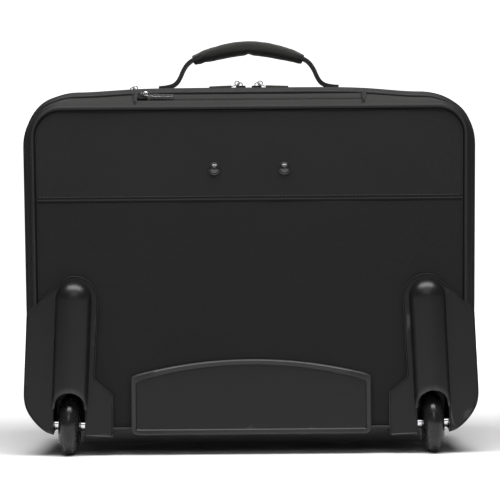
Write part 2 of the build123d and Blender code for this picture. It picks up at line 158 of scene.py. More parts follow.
def mix(tree, fac, a, b):
    made = add(tree, "ShaderNodeMix", data_type="RGBA")
    ins = [s for s in made.inputs if s.enabled]
    for sock, value in zip(ins, (fac, a, b)):
        if isinstance(value, bpy.types.NodeSocket):
            tree.links.new(value, sock)
        else:
            sock.default_value = value
    return [s for s in made.outputs if s.enabled][0]


def bump(tree, shader, height, strength, distance):
    made = add(tree, "ShaderNodeBump", {"Height": height, "Strength": strength, "Distance": distance})
    tree.links.new(made.outputs[0], shader.inputs["Normal"])


def settle(shader, **values):
    for key, value in values.items():
        shader.inputs[key.replace("_", " ")].default_value = value


def weave_height(tree, pitch):
    """Plain weave that reads on any face: products of sines along the three axes."""
    split = add(tree, "ShaderNodeSeparateXYZ", {0: position(tree)})
    waves = []
    for axis in range(3):
        turned = maths(tree, "MULTIPLY", split.outputs[axis], 2 * math.pi / pitch)
        waves.append(maths(tree, "SINE", turned))
    pairs = [maths(tree, "MULTIPLY", waves[i], waves[(i + 1) % 3]) for i in range(3)]
    total = maths(tree, "ADD", maths(tree, "ADD", pairs[0], pairs[1]), pairs[2])
    return ramp(tree, total, -1.5, 1.5)


def fabric(name, color, pitch=0.0011, strength=0.5, rough=0.82, sheen=0.04, spread=0.45, specular=0.12,
           side_shade_keep=1.0):
    """Woven cloth: weave relief, yarn fuzz, faint streaks along the yarns, cloudy wear, and painted shade on
    faces turned sideways.
    """
    mat, tree, shader = tree_of(name)
    weave = weave_height(tree, pitch)
    fuzz = noise_fac(tree, position(tree), 1600.0, 3.0, 0.65)
    cloud = noise_fac(tree, position(tree), 7.0, 4.0, 0.55)
    slub = noise_fac(tree, position(tree), 620.0, 2.0, 0.6)
    yarn = maths(tree, "ADD", maths(tree, "MULTIPLY", weave, 0.3), maths(tree, "MULTIPLY", fuzz, 0.3))
    shade = maths(tree, "ADD", yarn, ramp(tree, slub, 0.3, 0.7, 0.0, 0.4))
    dark, light = tone(color, 1 - spread), tone(color, 1 + spread)
    body = mix(tree, shade, dark, light)
    worn = mix(tree, ramp(tree, cloud, 0.35, 0.75), body, tone(color, 1.12))
    # painted side shade: faces whose normal points sideways are darkened towards black, keeping the given
    # share of their colour, in place of the shade on the case's sides
    facing = add(tree, "ShaderNodeSeparateXYZ",
                 {0: add(tree, "ShaderNodeNewGeometry").outputs["Normal"]}).outputs[0]
    painted_side_shade = ramp(tree, maths(tree, "ABSOLUTE", facing, 0.0), 0.15, 0.6, 0.0, 1.0 - side_shade_keep)
    tree.links.new(mix(tree, painted_side_shade, worn, grey(0.0)), shader.inputs["Base Color"])
    tree.links.new(ramp(tree, fuzz, 0.3, 0.7, rough - 0.06, rough + 0.08), shader.inputs["Roughness"])
    height = maths(tree, "ADD", maths(tree, "MULTIPLY", weave, 0.7), maths(tree, "MULTIPLY", fuzz, 0.5))
    bump(tree, shader, height, strength, 0.00022)
    settle(shader, Sheen_Weight=sheen, Sheen_Roughness=0.45, Specular_IOR_Level=specular)
    return mat


def ribbed(name, color, along=0.0016, across=0.0012, strength=0.7, rough=0.72):
    """Webbing and zip tape: a twill of slanted ribs, laid along the piece's own UV lengths."""
    mat, tree, shader = tree_of(name)
    uv = add(tree, "ShaderNodeTexCoord").outputs["UV"]
    split = add(tree, "ShaderNodeSeparateXYZ", {0: uv})
    u = maths(tree, "MULTIPLY", split.outputs[0], 2 * math.pi / along)
    v = maths(tree, "MULTIPLY", split.outputs[1], 2 * math.pi / across)
    slant = maths(tree, "SINE", maths(tree, "ADD", u, v))
    ribs = maths(tree, "SINE", v)
    weave = ramp(tree, maths(tree, "ADD", slant, maths(tree, "MULTIPLY", ribs, 0.6)), -1.6, 1.6)
    fuzz = noise_fac(tree, position(tree), 1400.0, 3.0, 0.6)
    body = mix(tree, maths(tree, "MULTIPLY", maths(tree, "ADD", weave, fuzz), 0.5), tone(color, 0.6),
               tone(color, 1.5))
    tree.links.new(body, shader.inputs["Base Color"])
    tree.links.new(ramp(tree, fuzz, 0.3, 0.7, rough - 0.08, rough + 0.08), shader.inputs["Roughness"])
    bump(tree, shader, maths(tree, "ADD", weave, maths(tree, "MULTIPLY", fuzz, 0.3)), strength, 0.0003)
    settle(shader, Sheen_Weight=0.2, Sheen_Roughness=0.4, Specular_IOR_Level=0.3)
    return mat


def moulded(name, color, rough=0.42, grain=900.0, strength=0.12, wear=2.0, specular=0.4, coat=0.0):
    """Moulded plastic: spark-eroded grain, flow clouds and pale worn edges."""
    mat, tree, shader = tree_of(name)
    fine = noise_fac(tree, position(tree), grain, 3.0, 0.6)
    pits = add(tree, "ShaderNodeTexVoronoi", {"Vector": position(tree),
                                              "Scale": grain * 0.8}).outputs["Distance"]
    cloud = noise_fac(tree, position(tree), 14.0, 3.0, 0.5)
    body = mix(tree, ramp(tree, cloud, 0.3, 0.7), tone(color, 0.93), tone(color, 1.08))
    edge = add(tree, "ShaderNodeNewGeometry").outputs["Pointiness"]
    rubbed = maths(tree, "MULTIPLY", ramp(tree, edge, 0.515, 0.60), ramp(tree, fine, 0.2, 0.6, 0.4, 1.0))
    tree.links.new(mix(tree, rubbed, body, tone(color, wear)), shader.inputs["Base Color"])
    tree.links.new(ramp(tree, fine, 0.25, 0.75, rough - 0.05, rough + 0.07), shader.inputs["Roughness"])
    height = maths(tree, "ADD", maths(tree, "MULTIPLY", fine, 0.6), maths(tree, "MULTIPLY", pits, 0.4))
    bump(tree, shader, height, strength, 0.00012)
    settle(shader, Specular_IOR_Level=specular, Coat_Weight=coat, Coat_Roughness=0.2)
    return mat


def metal(name, color, rough=0.25, streak=(1.0, 1.0, 1.0), scale=700.0, strength=0.05):
    """Metal with fine drawn or ground streaks and a few dull smears."""
    mat, tree, shader = tree_of(name)
    stretched = add(tree, "ShaderNodeVectorMath", {0: position(tree), 1: streak},
                    operation="MULTIPLY").outputs[0]
    lines = noise_fac(tree, stretched, scale, 3.0, 0.6)
    smear = noise_fac(tree, position(tree), 35.0, 3.0, 0.55)
    tree.links.new(mix(tree, lines, tone(color, 0.88), tone(color, 1.06)), shader.inputs["Base Color"])
    spread = maths(tree, "ADD", ramp(tree, lines, 0.3, 0.7, rough - 0.04, rough + 0.06),
                   ramp(tree, smear, 0.55, 0.8, 0.0, 0.12))
    tree.links.new(spread, shader.inputs["Roughness"])
    bump(tree, shader, lines, strength, 0.00006)
    settle(shader, Metallic=1.0)
    return mat


def urethane(name, color):
    """Glossy wheel tyre with a cloudy dusty tone and fine scuffs in its roughness and bump."""
    mat, tree, shader = tree_of(name)
    scuff = noise_fac(tree, position(tree), 260.0, 4.0, 0.6)
    dust = noise_fac(tree, position(tree), 45.0, 3.0, 0.5)
    tree.links.new(mix(tree, ramp(tree, dust, 0.4, 0.75), tone(color, 0.85), tone(color, 1.5)),
                   shader.inputs["Base Color"])
    tree.links.new(ramp(tree, scuff, 0.35, 0.75, 0.22, 0.36), shader.inputs["Roughness"])
    bump(tree, shader, scuff, 0.05, 0.0001)
    settle(shader, Specular_IOR_Level=0.35, Coat_Weight=0.15, Coat_Roughness=0.1)
    return mat


BODY = fabric("body_fabric", (0.0127, 0.0127, 0.0130))
YOKE = fabric("yoke_fabric", (0.0150, 0.0150, 0.0153))
# gusset cloth: the body's black fabric given a lighter colour as painted light for its lit top band, with
# painted shade on its sideways faces
GUSSET_PAINTED_LIGHT = fabric("gusset_fabric", (0.0310, 0.0310, 0.0304), sheen=0.0, side_shade_keep=0.28)
# piping: keeps 0.4 of its colour on sideways faces as painted side shade
PIPING = fabric("piping", (0.0125, 0.0125, 0.0125), pitch=0.0008, rough=0.6, sheen=0.0, specular=0.3,
                side_shade_keep=0.4)
LINING = fabric("lining", (0.055, 0.056, 0.060), pitch=0.0006, strength=0.25, rough=0.6, specular=0.4)
WRAP = fabric("grip_leatherette", (0.022, 0.022, 0.0205), pitch=0.0016, strength=1.0, sheen=0.4, spread=0.7)
TAPE = ribbed("zip_tape", (0.011, 0.011, 0.0115), along=0.0010, across=0.0009, strength=0.4)
WEBBING = ribbed("webbing", (0.008, 0.008, 0.008), along=0.0028, across=0.0022, strength=1.0)
THREAD = fabric("thread", (0.028, 0.028, 0.028), pitch=0.0005, strength=0.3, rough=0.6, specular=0.4)
BOARD = moulded("board", (0.030, 0.030, 0.032), rough=0.5)
GUARD = moulded("guard_plastic", (0.0066, 0.0066, 0.0068), rough=0.34, wear=8.0, specular=0.36)
# front foot: pale grey colour is painted light, brightening the foot that stands in shade under the case
FOOT_PAINTED_LIGHT = moulded("foot_plastic", (0.22, 0.22, 0.22), rough=0.5)
HANDLE = moulded("handle_plastic", (0.018, 0.018, 0.019), rough=0.45)
BUTTON = moulded("button_plastic", (0.060, 0.060, 0.062), rough=0.4)
HUB = moulded("hub_plastic", (0.055, 0.055, 0.057), rough=0.38)
COIL = moulded("zip_coil", (0.007, 0.007, 0.0075), rough=0.35, grain=2000.0)
RIVET = moulded("rivet_black", (0.012, 0.012, 0.013), rough=0.14, strength=0.02, specular=0.7, coat=0.5)
TYRE = urethane("tyre", (0.010, 0.010, 0.0105))
CHROME = metal("chrome_steel", (0.80, 0.80, 0.82), rough=0.12, strength=0.02)
BEARING = metal("bearing_steel", (0.60, 0.60, 0.62), rough=0.22)
FASTENER = metal("steel_fastener", (0.50, 0.50, 0.52), rough=0.30)
BRACKET = metal("steel_bracket", (0.45, 0.45, 0.47), rough=0.36, scale=240.0)
TUBE = metal("aluminium_tube", (0.62, 0.62, 0.64), rough=0.30, streak=(1.0, 1.0, 0.02), scale=1800.0)
COVER = moulded("puller_cover", (0.022, 0.022, 0.017), rough=0.6)
PULL = metal("zip_metal", (0.72, 0.72, 0.73), rough=0.22, strength=0.03)
# painted shadow: near-black material for tubes laid beside the piping and seam cords, standing in for the
# shade in their grooves
PAINTED_SHADOW = moulded("shadow_gap", (0.003, 0.003, 0.003), rough=0.8, specular=0.1, wear=1.0)


# ================================================================ mesh helpers
def mesh_object(name, verts, faces, material, smooth=True, angle=35.0):
    """Mesh object from millimetre points."""
    mesh = bpy.data.meshes.new(name)
    mesh.from_pydata([tuple(v) for v in np.asarray(verts, float) * MM], [], faces)
    obj = bpy.data.objects.new(name, mesh)
    bpy.context.scene.collection.objects.link(obj)
    mesh.materials.append(material)
    finish_mesh(obj, smooth, angle)
    return obj


def finish_mesh(obj, smooth=True, angle=35.0):
    mesh = obj.data
    mesh.validate()
    mesh.update()
    for poly in mesh.polygons:
        poly.use_smooth = smooth
    if smooth and angle is not None:
        mesh.set_sharp_from_angle(angle=math.radians(angle))


def refined(obj, longest=5.0):
    """Splits big flat faces into small ones, so that wear can follow their edges."""
    work = bmesh.new()
    work.from_mesh(obj.data)
    for _ in range(6):
        big = [f for f in work.faces if f.calc_area() > 4e-6 or len(f.verts) > 4]
        bmesh.ops.triangulate(work, faces=big, ngon_method="EAR_CLIP")
        long = [e for e in work.edges if e.calc_length() > longest * MM]
        if not long:
            break
        bmesh.ops.subdivide_edges(work, edges=long, cuts=1)
    work.to_mesh(obj.data)
    work.free()
    return obj


def outward(obj):
    work = bmesh.new()
    work.from_mesh(obj.data)
    bmesh.ops.recalc_face_normals(work, faces=work.faces)
    work.to_mesh(obj.data)
    work.free()
    return obj


def applied(obj):
    """Bakes the object's modifiers into its mesh."""
    bpy.context.view_layer.update()
    graph = bpy.context.evaluated_depsgraph_get()
    mesh = bpy.data.meshes.new_from_object(obj.evaluated_get(graph), depsgraph=graph)
    obj.modifiers.clear()
    old = obj.data
    obj.data = mesh
    bpy.data.meshes.remove(old)
    return obj


def modifier(obj, kind, **props):
    made = obj.modifiers.new(kind.lower(), kind)
    for key, value in props.items():
        setattr(made, key, value)
    return made


def thicken(obj, thickness, offset=-1.0, inner=None):
    """Solid wall inwards from the sheet; inner is the material of the inside."""
    props = {"thickness": thickness * MM, "offset": offset, "use_even_offset": True}
    if inner is not None:
        obj.data.materials.append(inner)
        props["material_offset"] = 1
    modifier(obj, "SOLIDIFY", **props)
    return applied(obj)


def rounded_edges(obj, width, segments=3, angle=35.0):
    modifier(obj, "BEVEL", width=width * MM, segments=segments, limit_method="ANGLE",
             angle_limit=math.radians(angle), harden_normals=False)
    applied(obj)
    finish_mesh(obj, True, 50.0)
    return obj


def cut(obj, cutter):
    modifier(obj, "BOOLEAN", operation="DIFFERENCE", solver="EXACT", object=cutter)
    applied(obj)
    bpy.data.objects.remove(cutter)
    finish_mesh(obj)
    return obj


def join(name, objects):
    """One object out of several, keeping each one's materials."""
    mesh = bpy.data.meshes.new(name)
    work = bmesh.new()
    slots = []
    for part in objects:
        start = len(work.faces)
        work.from_mesh(part.data)
        work.faces.ensure_lookup_table()
        lookup = []
        for mat in part.data.materials:
            if mat not in slots:
                slots.append(mat)
            lookup.append(slots.index(mat))
        for face in work.faces[start:]:
            face.material_index = lookup[face.material_index]
    work.to_mesh(mesh)
    work.free()
    for mat in slots:
        mesh.materials.append(mat)
    for part in objects:
        bpy.data.objects.remove(part)
    made = bpy.data.objects.new(name, mesh)
    bpy.context.scene.collection.objects.link(made)
    return made


def rounded(points, radii, arc=8, lines=1):
    """Closed outline whose corners are rounded; lines is how many steps each straight takes."""
    points = [np.array(p, float) for p in points]
    count = len(points)
    steps = lines if isinstance(lines, (list, tuple)) else [lines] * count
    corners = []
    for i, (here, radius) in enumerate(zip(points, radii)):
        if radius <= 0:
            corners.append([here])
            continue
        back = points[i - 1] - here
        ahead = points[(i + 1) % count] - here
        back /= np.linalg.norm(back)
        ahead /= np.linalg.norm(ahead)
        half = 0.5 * math.acos(np.clip(back @ ahead, -1, 1))
        way = (back + ahead) / np.linalg.norm(back + ahead)
        centre = here + way * radius / math.sin(half)
        first = here + back * radius / math.tan(half) - centre
        last = here + ahead * radius / math.tan(half) - centre
        a0 = math.atan2(first[1], first[0])
        turn = math.atan2(first[0] * last[1] - first[1] * last[0], first @ last)
        angles = [a0 + turn * k / arc for k in range(arc + 1)]
        corners.append([centre + radius * np.array([math.cos(a), math.sin(a)]) for a in angles])
    out = []
    for i, corner in enumerate(corners):
        out.extend(corner)
        after = corners[(i + 1) % count][0]
        for k in range(1, steps[i]):
            out.append(corner[-1] + (after - corner[-1]) * k / steps[i])
    return np.array(out)


def outline(shape, grow=0.0, fine=1.0):
    """Points round a tapered rounded rectangle, from the middle of its bottom edge to the right."""
    low_half, top_half, z0, z1, r_top, r_low = shape
    low, top = low_half + grow, top_half + grow
    points = [(0, z0 - grow), (low, z0 - grow), (top, z1 + grow), (-top, z1 + grow), (-low, z0 - grow)]
    radii = [0, r_low + grow, r_top + grow, r_top + grow, r_low + grow]
    lines = [int(n * fine) for n in (22, 34, 54, 34, 22)]
    return rounded(points, radii, arc=int(12 * fine), lines=lines)


def blend_shapes(a, b, t):
    return tuple(x + (y - x) * t for x, y in zip(a, b))


def half_width(shape, z):
    """Half width of a tapered rounded rectangle at height z."""
    low_half, top_half, z0, z1, r_top, r_low = shape
    side = low_half + (top_half - low_half) * (z - z0) / (z1 - z0)
    if z > z1 - r_top:
        rise = min(z - (z1 - r_top), r_top)
        side -= r_top - math.sqrt(max(r_top ** 2 - rise ** 2, 0.0))
    if z < z0 + r_low:
        drop = min(z0 + r_low - z, r_low)
        side -= r_low - math.sqrt(max(r_low ** 2 - drop ** 2, 0.0))
    return side


def grid(name, rows, material, closed=False, cap=False, smooth=True, angle=35.0):
    """Mesh through rows of points, with UVs as lengths in metres along and across the rows."""
    rows = np.array(rows, float)
    count, wide = rows.shape[:2]
    span = wide if closed else wide - 1
    faces, uv = [], []
    middle = rows[count // 2]
    steps = np.linalg.norm(np.roll(middle, -1, 0) - middle, axis=1)
    along = np.concatenate([[0], np.cumsum(steps)]) * MM
    down = np.linalg.norm(np.diff(rows, axis=0), axis=2).mean(1)
    across = np.concatenate([[0], np.cumsum(down)]) * MM
    for i in range(count - 1):
        for j in range(span):
            k = (j + 1) % wide
            faces.append((i * wide + j, i * wide + k, (i + 1) * wide + k, (i + 1) * wide + j))
            uv.extend([(along[j], across[i]), (along[j + 1], across[i]),
                       (along[j + 1], across[i + 1]), (along[j], across[i + 1])])
    if cap:
        faces.append(tuple(range(wide))[::-1])
        faces.append(tuple((count - 1) * wide + j for j in range(wide)))
        uv.extend([(0.0, 0.0)] * (2 * wide))
    mesh = bpy.data.meshes.new(name)
    mesh.from_pydata([tuple(v) for v in rows.reshape(-1, 3) * MM], [], faces)
    layer = mesh.uv_layers.new(name="UVMap")
    layer.data.foreach_set("uv", np.array(uv, np.float32).ravel())
    mesh.materials.append(material)
    obj = bpy.data.objects.new(name, mesh)
    bpy.context.scene.collection.objects.link(obj)
    finish_mesh(obj, smooth, angle)
    return obj


BOX_FACES = [(0, 1, 3, 2), (4, 6, 7, 5), (0, 4, 5, 1), (2, 3, 7, 6), (0, 2, 6, 4), (1, 5, 7, 3)]


def block(name, low, high, material, radius=0.6):
    """Box with rounded edges."""
    (x0, y0, z0), (x1, y1, z1) = low, high
    verts = [(x, y, z) for x in (x0, x1) for y in (y0, y1) for z in (z0, z1)]
    obj = mesh_object(name, verts, BOX_FACES, material)
    if radius:
        rounded_edges(obj, radius, 2)
    return obj


def prism(name, points, y0, y1, material, bevel=0.0):
    """Plate from an outline in x and z, between two depths."""
    count = len(points)
    verts = [(x, y0, z) for x, z in points] + [(x, y1, z) for x, z in points]
    sides = [(i, i + count, (i + 1) % count + count, (i + 1) % count) for i in range(count)]
    faces = [tuple(range(count)), tuple(range(count, 2 * count))[::-1]] + sides
    obj = outward(mesh_object(name, verts, faces, material))
    if bevel:
        rounded_edges(obj, bevel)
    return obj


def swept(name, path, section, material, closed=False, up=(0, 1, 0)):
    """Carries a section of (side, up) offsets along a path; up is the section's steady direction."""
    path = np.array(path, float)
    count = len(path)
    steady = np.array(up, float)
    rows = []
    for i in range(count):
        after = path[(i + 1) % count] if closed or i < count - 1 else path[i]
        before = path[i - 1] if closed or i else path[i]
        way = after - before
        way /= np.linalg.norm(way)
        side = np.cross(way, steady)
        side /= np.linalg.norm(side)
        lift = np.cross(side, way)
        rows.append([path[i] + a * side + b * lift for a, b in section])
    if closed:
        rows.append(rows[0])
    return outward(grid(name, rows, material, closed=True, cap=not closed))


def circle(radius, count=10):
    turns = [2 * math.pi * k / count for k in range(count)]
    return [(radius * math.cos(a), radius * math.sin(a)) for a in turns]


def lathe(name, profile, material, place, count=48):
    """Turns a profile of (along, radius) points about its axis; place maps (along, side, up)."""
    rows = []
    for k in range(count + 1):
        turn = 2 * math.pi * k / count
        rows.append([place(a, r * math.sin(turn), r * math.cos(turn)) for a, r in profile])
    return outward(grid(name, rows, material))


def stitches(name, path, normals, pitch=3.4, length=2.5, radius=0.33, material=None):
    """Row of thread dashes lying on a surface along a path."""
    path = np.array(path, float)
    normals = np.array(normals, float)
    steps = np.linalg.norm(np.diff(path, axis=0), axis=1)
    at = np.concatenate([[0], np.cumsum(steps)])
    verts, faces = [], []
    for k in range(int(at[-1] / pitch)):
        middle = (k + 0.5) * pitch
        ends = [np.array([np.interp(middle + s * length / 2, at, path[:, d]) for d in range(3)])
                for s in (-1, 1)]
        normal = np.array([np.interp(middle, at, normals[:, d]) for d in range(3)])
        normal /= np.linalg.norm(normal)
        way = ends[1] - ends[0]
        size = np.linalg.norm(way)
        if size < 0.5 * length:
            continue
        way /= size
        side = np.cross(way, normal)
        base = len(verts)
        for share, fat, rise in ((0.0, 0.45, -0.3), (0.25, 1.0, 0.5), (0.75, 1.0, 0.5), (1.0, 0.45, -0.3)):
            centre = ends[0] + way * size * share + normal * rise * radius
            for a, b in circle(radius * fat, 6):
                verts.append(centre + side * a + normal * b)
        for ring in range(3):
            for j in range(6):
                m = (j + 1) % 6
                faces.append((base + ring * 6 + j, base + ring * 6 + m, base + ring * 6 + 6 + m,
                              base + ring * 6 + 6 + j))
        faces.append(tuple(base + j for j in range(6))[::-1])
        faces.append(tuple(base + 18 + j for j in range(6)))
    return outward(mesh_object(name, verts, faces, material or THREAD))


def soft_noise(point, scale, seed=0.0):
    """Smooth noise of about -1 to 1 at a point in millimetres."""
    return noise.noise(Vector((point[0] / scale + seed, point[1] / scale, point[2] / scale)))


def crisp(obj):
    """Keeps the flat faces of a hard piece flat between its rounded edges."""
    modifier(obj, "WEIGHTED_NORMAL", keep_sharp=True, weight=60)
    return obj


def settle_on(obj, body, slot, *nodes):
    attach(obj, body)
    if nodes:
        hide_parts(*nodes)
    return obj


# ================================================================ wheels' own frame
def local(side):
    """Maps a point across, deep and up from a wheel's axle into the case's frame."""
    def place(u, y, w):
        x = -AXLE_X + u * math.cos(LEAN) + w * math.sin(LEAN)
        z = AXLE_Z - u * math.sin(LEAN) + w * math.cos(LEAN)
        return (x if side == "left" else -x, y, z)
    return place


WELL_HALF, WELL_TOP, WELL_FRONT = 18.0, 37.0, -41.0
GUARD_Y = PANEL_Y - 3.0


def wells():
    """Cutters that open the soft case for both wheel wells."""
    made = []
    for side in ("left", "right"):
        place = local(side)
        corners = [(u, y, w) for u in (-WELL_HALF, WELL_HALF) for y in (-120, WELL_FRONT)
                   for w in (-40, WELL_TOP)]
        made.append(outward(mesh_object("well_cutter_" + side, [place(*c) for c in corners], BOX_FACES,
                                        GUARD)))
    return made


def open_wells(obj):
    for cutter in wells():
        cut(obj, cutter)
    return obj


# ================================================================ soft case, rear
def smooth(t):
    t = min(max(t, 0.0), 1.0)
    return t * t * (3 - 2 * t)


def droop(x, y, z):
    """How far the soft top edge sags towards its shoulders, a little more on the right."""
    deep = smooth((y - PANEL_BACK) / (CASE_BACK - PANEL_BACK))
    high = smooth((z - 312) / 30)
    amount, end = (3.4, 212.0) if x < 0 else (4.9, 224.0)
    near = math.exp(-((abs(x) - 170) / 46) ** 2) * smooth((end - abs(x)) / 24)
    return -amount * deep * high * near


def sagged(obj):
    """Lets a piece of the soft top sag with the case."""
    for v in obj.data.vertices:
        x, y, z = v.co / MM
        v.co.z += droop(x, y, z) * MM
    return obj


def crown(x, z, shape, height):
    """How far a stretched panel stands out: nothing at its edge, height in the middle."""
    side = max(half_width(shape, z), 1.0)
    across = max(0.0, 1 - (x / side) ** 2)
    up = max(0.0, 1 - ((2 * z - shape[2] - shape[3]) / (shape[3] - shape[2])) ** 2)
    return height * (across * up) ** 0.6


def tuck(x, z, shape, deep=1.2, reach=2.6):
    """How far a panel's cloth turns in beside its piping."""
    side = half_width(shape, z) - abs(x)
    edge = min(side, z - shape[2], shape[3] - z)
    return deep * max(0.0, 1 - edge / reach) ** 2


def panel_rows(shape, levels, y_of, wide=88):
    """Rows of a panel from side to side, close together towards its edges."""
    rows = []
    for z in levels:
        side = half_width(shape, z)
        across = [side * math.sin(math.pi * (k / wide - 0.5)) for k in range(wide + 1)]
        rows.append([(x, y_of(x, z), z) for x in across])
    return rows


def ease(start, end, count, bend_start=True, bend_end=True):
    """Levels that crowd towards rounded ends."""
    out = []
    for k in range(count + 1):
        t = k / count
        if bend_start and bend_end:
            t = 0.5 - 0.5 * math.cos(math.pi * t)
        elif bend_start:
            t = 1 - math.cos(0.5 * math.pi * t)
        elif bend_end:
            t = math.sin(0.5 * math.pi * t)
        out.append(start + (end - start) * t)
    return out


def rear_panels():
    def low_y(x, z):
        groove = 0.5 * math.exp(-((z - YOKE_Z + 1.6) / 0.9) ** 2)
        ripple = 0.25 * soft_noise((x, 0, z), 60.0)
        return PANEL_Y - crown(x, z, PANEL, 1.2) + groove - ripple + tuck(x, z, PANEL)

    levels = ease(PANEL[2], YOKE_Z - 8, 40, True, False) + [YOKE_Z - 8 + 0.75 * k for k in range(1, 14)]
    lower = grid("rear_panel_lower_cloth", panel_rows(PANEL, levels, low_y), BODY)
    thicken(lower, 1.2, -1.0)
    open_wells(outward(lower))
    settle_on(lower, "case", "body_fabric", "rear_panel_lower")

    def yoke_y(x, z):
        up = z - YOKE_Z
        bead = 0.45 * math.exp(-(up / 0.6) ** 2)
        groove = 0.55 * math.exp(-((up - 1.6) / 0.6) ** 2)
        ripple = 0.3 * soft_noise((x, 0, z), 55.0, 4.0)
        return PANEL_Y - 0.4 - crown(x, z, PANEL, 1.2) - bead + groove - ripple + tuck(x, z, PANEL, 1.8)

    levels = [YOKE_Z - 0.6 + 0.5 * k for k in range(14)] + ease(YOKE_Z + 7, PANEL[3], 30, False, True)
    yoke = grid("rear_panel_yoke_cloth", panel_rows(PANEL, levels, yoke_y), YOKE)
    thicken(yoke, 0.7, -1.0)
    settle_on(outward(yoke), "case", "yoke_fabric", "rear_panel_yoke")
    side = half_width(PANEL, YOKE_Z) - 3
    path = [(x, yoke_y(x, YOKE_Z + 3.4), YOKE_Z + 3.4) for x in np.linspace(-side, side, 60)]
    row = stitches("yoke_stitches", path, [(0, -1, 0)] * len(path), material=THREAD)
    settle_on(row, "case", "yoke_fabric")


def outside_wells(point):
    """Whether a point on the rear edge is clear of the wheel wells."""
    return not (153.5 < abs(point[0]) < 201 and point[1] < 66)


def runs_between_wells(points):
    """Splits a closed outline into the runs that the wheel wells leave."""
    keep = [outside_wells(p) for p in points]
    start = keep.index(False)
    order = list(range(start, len(points))) + list(range(start))
    runs, run = [], []
    for i in order:
        if keep[i]:
            run.append(points[i])
        elif run:
            runs.append(run)
            run = []
    if run:
        runs.append(run)
    return runs


def rear_piping():
    path = outline(PANEL, 2.1, 1.5)
    cords = []
    for run in runs_between_wells(path):
        line = [(x, PANEL_Y - 1.1, z) for x, z in run]
        cords.append(swept("cord", line, circle(1.9, 12), PIPING))
    for run in runs_between_wells(outline(PANEL, 0.3, 1.5)):
        line = [(x, PANEL_Y + 0.4, z) for x, z in run]
        cords.append(swept("welt", line, [(-2.6, 0.9), (1.8, 0.9), (1.8, -0.5), (-2.6, -0.5)], PIPING))
    # near-black tube just inside the cord: painted shadow line under the piping
    for run in runs_between_wells(outline(PANEL, -0.1, 1.5)):
        cords.append(swept("gap", [(x, PANEL_Y + 0.2, z) for x, z in run], circle(1.0, 8), PAINTED_SHADOW))
    settle_on(join("rear_piping_cord", cords), "case", "piping", "rear_piping")


def band(name, back, front, depths, material, puff, inner, seed):
    """Band of cloth from one outline to another, padded and faintly rippled."""
    rows = []
    y0, y1 = depths[0], depths[-1]
    for y in depths:
        t = (y - y0) / (y1 - y0)
        swell = puff * (math.sin(math.pi * t) ** 0.7 if 0 < t < 1 else 0.0)
        points = outline(blend_shapes(back, front, t), swell)
        row = []
        for x, z in points:
            near = min(y - y0, y1 - y)
            corner = math.exp(-((abs(x) - 190) / 28) ** 2) * math.exp(-((z - 335) / 30) ** 2)
            pucker = 0.35 * corner * math.exp(-near / 7) * math.sin((x + z) * 0.62)
            wave = 0.55 * soft_noise((x, y, z), 48.0, seed) * min(1.0, near / 6) + pucker
            length = math.hypot(x, z - 190)
            sag = droop(x, y, z) if y < CASE_FRONT else 0.0
            row.append((x + wave * x / length, y, z + wave * (z - 190) / length + sag))
        rows.append(row)
    made = grid(name, rows, material, closed=True)
    outward(made)
    thicken(made, 1.8, -1.0, inner)
    return made


SLOT_HALF, SLOT_BACK, SLOT_FRONT = 112.0, -80.0, -54.0
BAND_RISE = (CASE_HIGH[2] - 4.0 - REAR[3]) / (CASE_BACK - 2.0 - PANEL_BACK)


def band_z(y):
    """Height of the sloping top band at a depth."""
    return REAR[3] + BAND_RISE * (y - PANEL_BACK)


def cutter_box(low, high):
    return outward(block("cutter", low, high, GUARD, radius=0.0))


def rear_band():
    depths = [PANEL_BACK - 0.6, -84.0, -82.0, -80.0, -76, -72, -68, -64, -60, -56, -54, -53, CASE_BACK - 1.6]
    made = band("rear_gusset_cloth", REAR, SEAM, depths, GUSSET_PAINTED_LIGHT, 2.0, LINING, 3.0)
    cut(made, cutter_box((-SLOT_HALF, SLOT_BACK, 300), (SLOT_HALF, SLOT_FRONT, 400)))
    open_wells(made)
    settle_on(made, "case", "gusset_fabric", "rear_gusset")


def zip_lip(name, x0, x1, y_edge, y_gap, surface, material, wide=40):
    """Half of a zip's cover: a folded strip whose inner edge rolls down beside the coil."""
    rows = []
    for k in range(9):
        t = k / 8
        y = y_edge + (y_gap - y_edge) * t
        roll = 3.0 * max(0.0, (t - 0.76) / 0.24) ** 2
        lift = 1.0 * math.sin(math.pi * min(t / 0.94, 1.0)) ** 1.5
        row = []
        for j in range(wide + 1):
            x = x0 + (x1 - x0) * j / wide
            wave = 0.25 * soft_noise((x, y, 0), 26.0, 7.0)
            row.append((x, y, surface(y) - 0.7 + lift - roll + wave))
        rows.append(row)
    made = grid(name, rows, material)
    outward(made)
    return thicken(made, 1.0, -1.0, TAPE)


def coil(name, path, normals, material, pitch=1.5, width=3.6):
    """Closed zip coil: alternate teeth from the two sides, meshed along a path."""
    path = np.array(path, float)
    normals = np.array(normals, float)
    steps = np.linalg.norm(np.diff(path, axis=0), axis=1)
    at = np.concatenate([[0], np.cumsum(steps)])
    verts, faces = [], []
    for k in range(int(at[-1] / pitch)):
        s = (k + 0.5) * pitch
        centre = np.array([np.interp(s, at, path[:, d]) for d in range(3)])
        ahead = np.array([np.interp(s + 0.5, at, path[:, d]) for d in range(3)])
        normal = np.array([np.interp(s, at, normals[:, d]) for d in range(3)])
        normal /= np.linalg.norm(normal)
        way = ahead - centre
        way /= max(np.linalg.norm(way), 1e-6)
        side = np.cross(way, normal)
        shift = (0.22 if k % 2 else -0.22) * width
        base = len(verts)
        for a in (-0.30 * width, 0.30 * width):
            for b, c in circle(0.62, 6):
                verts.append(centre + side * (shift + a) + way * b * 0.9 + normal * c)
        for j in range(6):
            m = (j + 1) % 6
            faces.append((base + j, base + m, base + 6 + m, base + 6 + j))
        faces.append(tuple(base + j for j in range(6))[::-1])
        faces.append(tuple(base + 6 + j for j in range(6)))
    return outward(mesh_object(name, verts, faces, material))


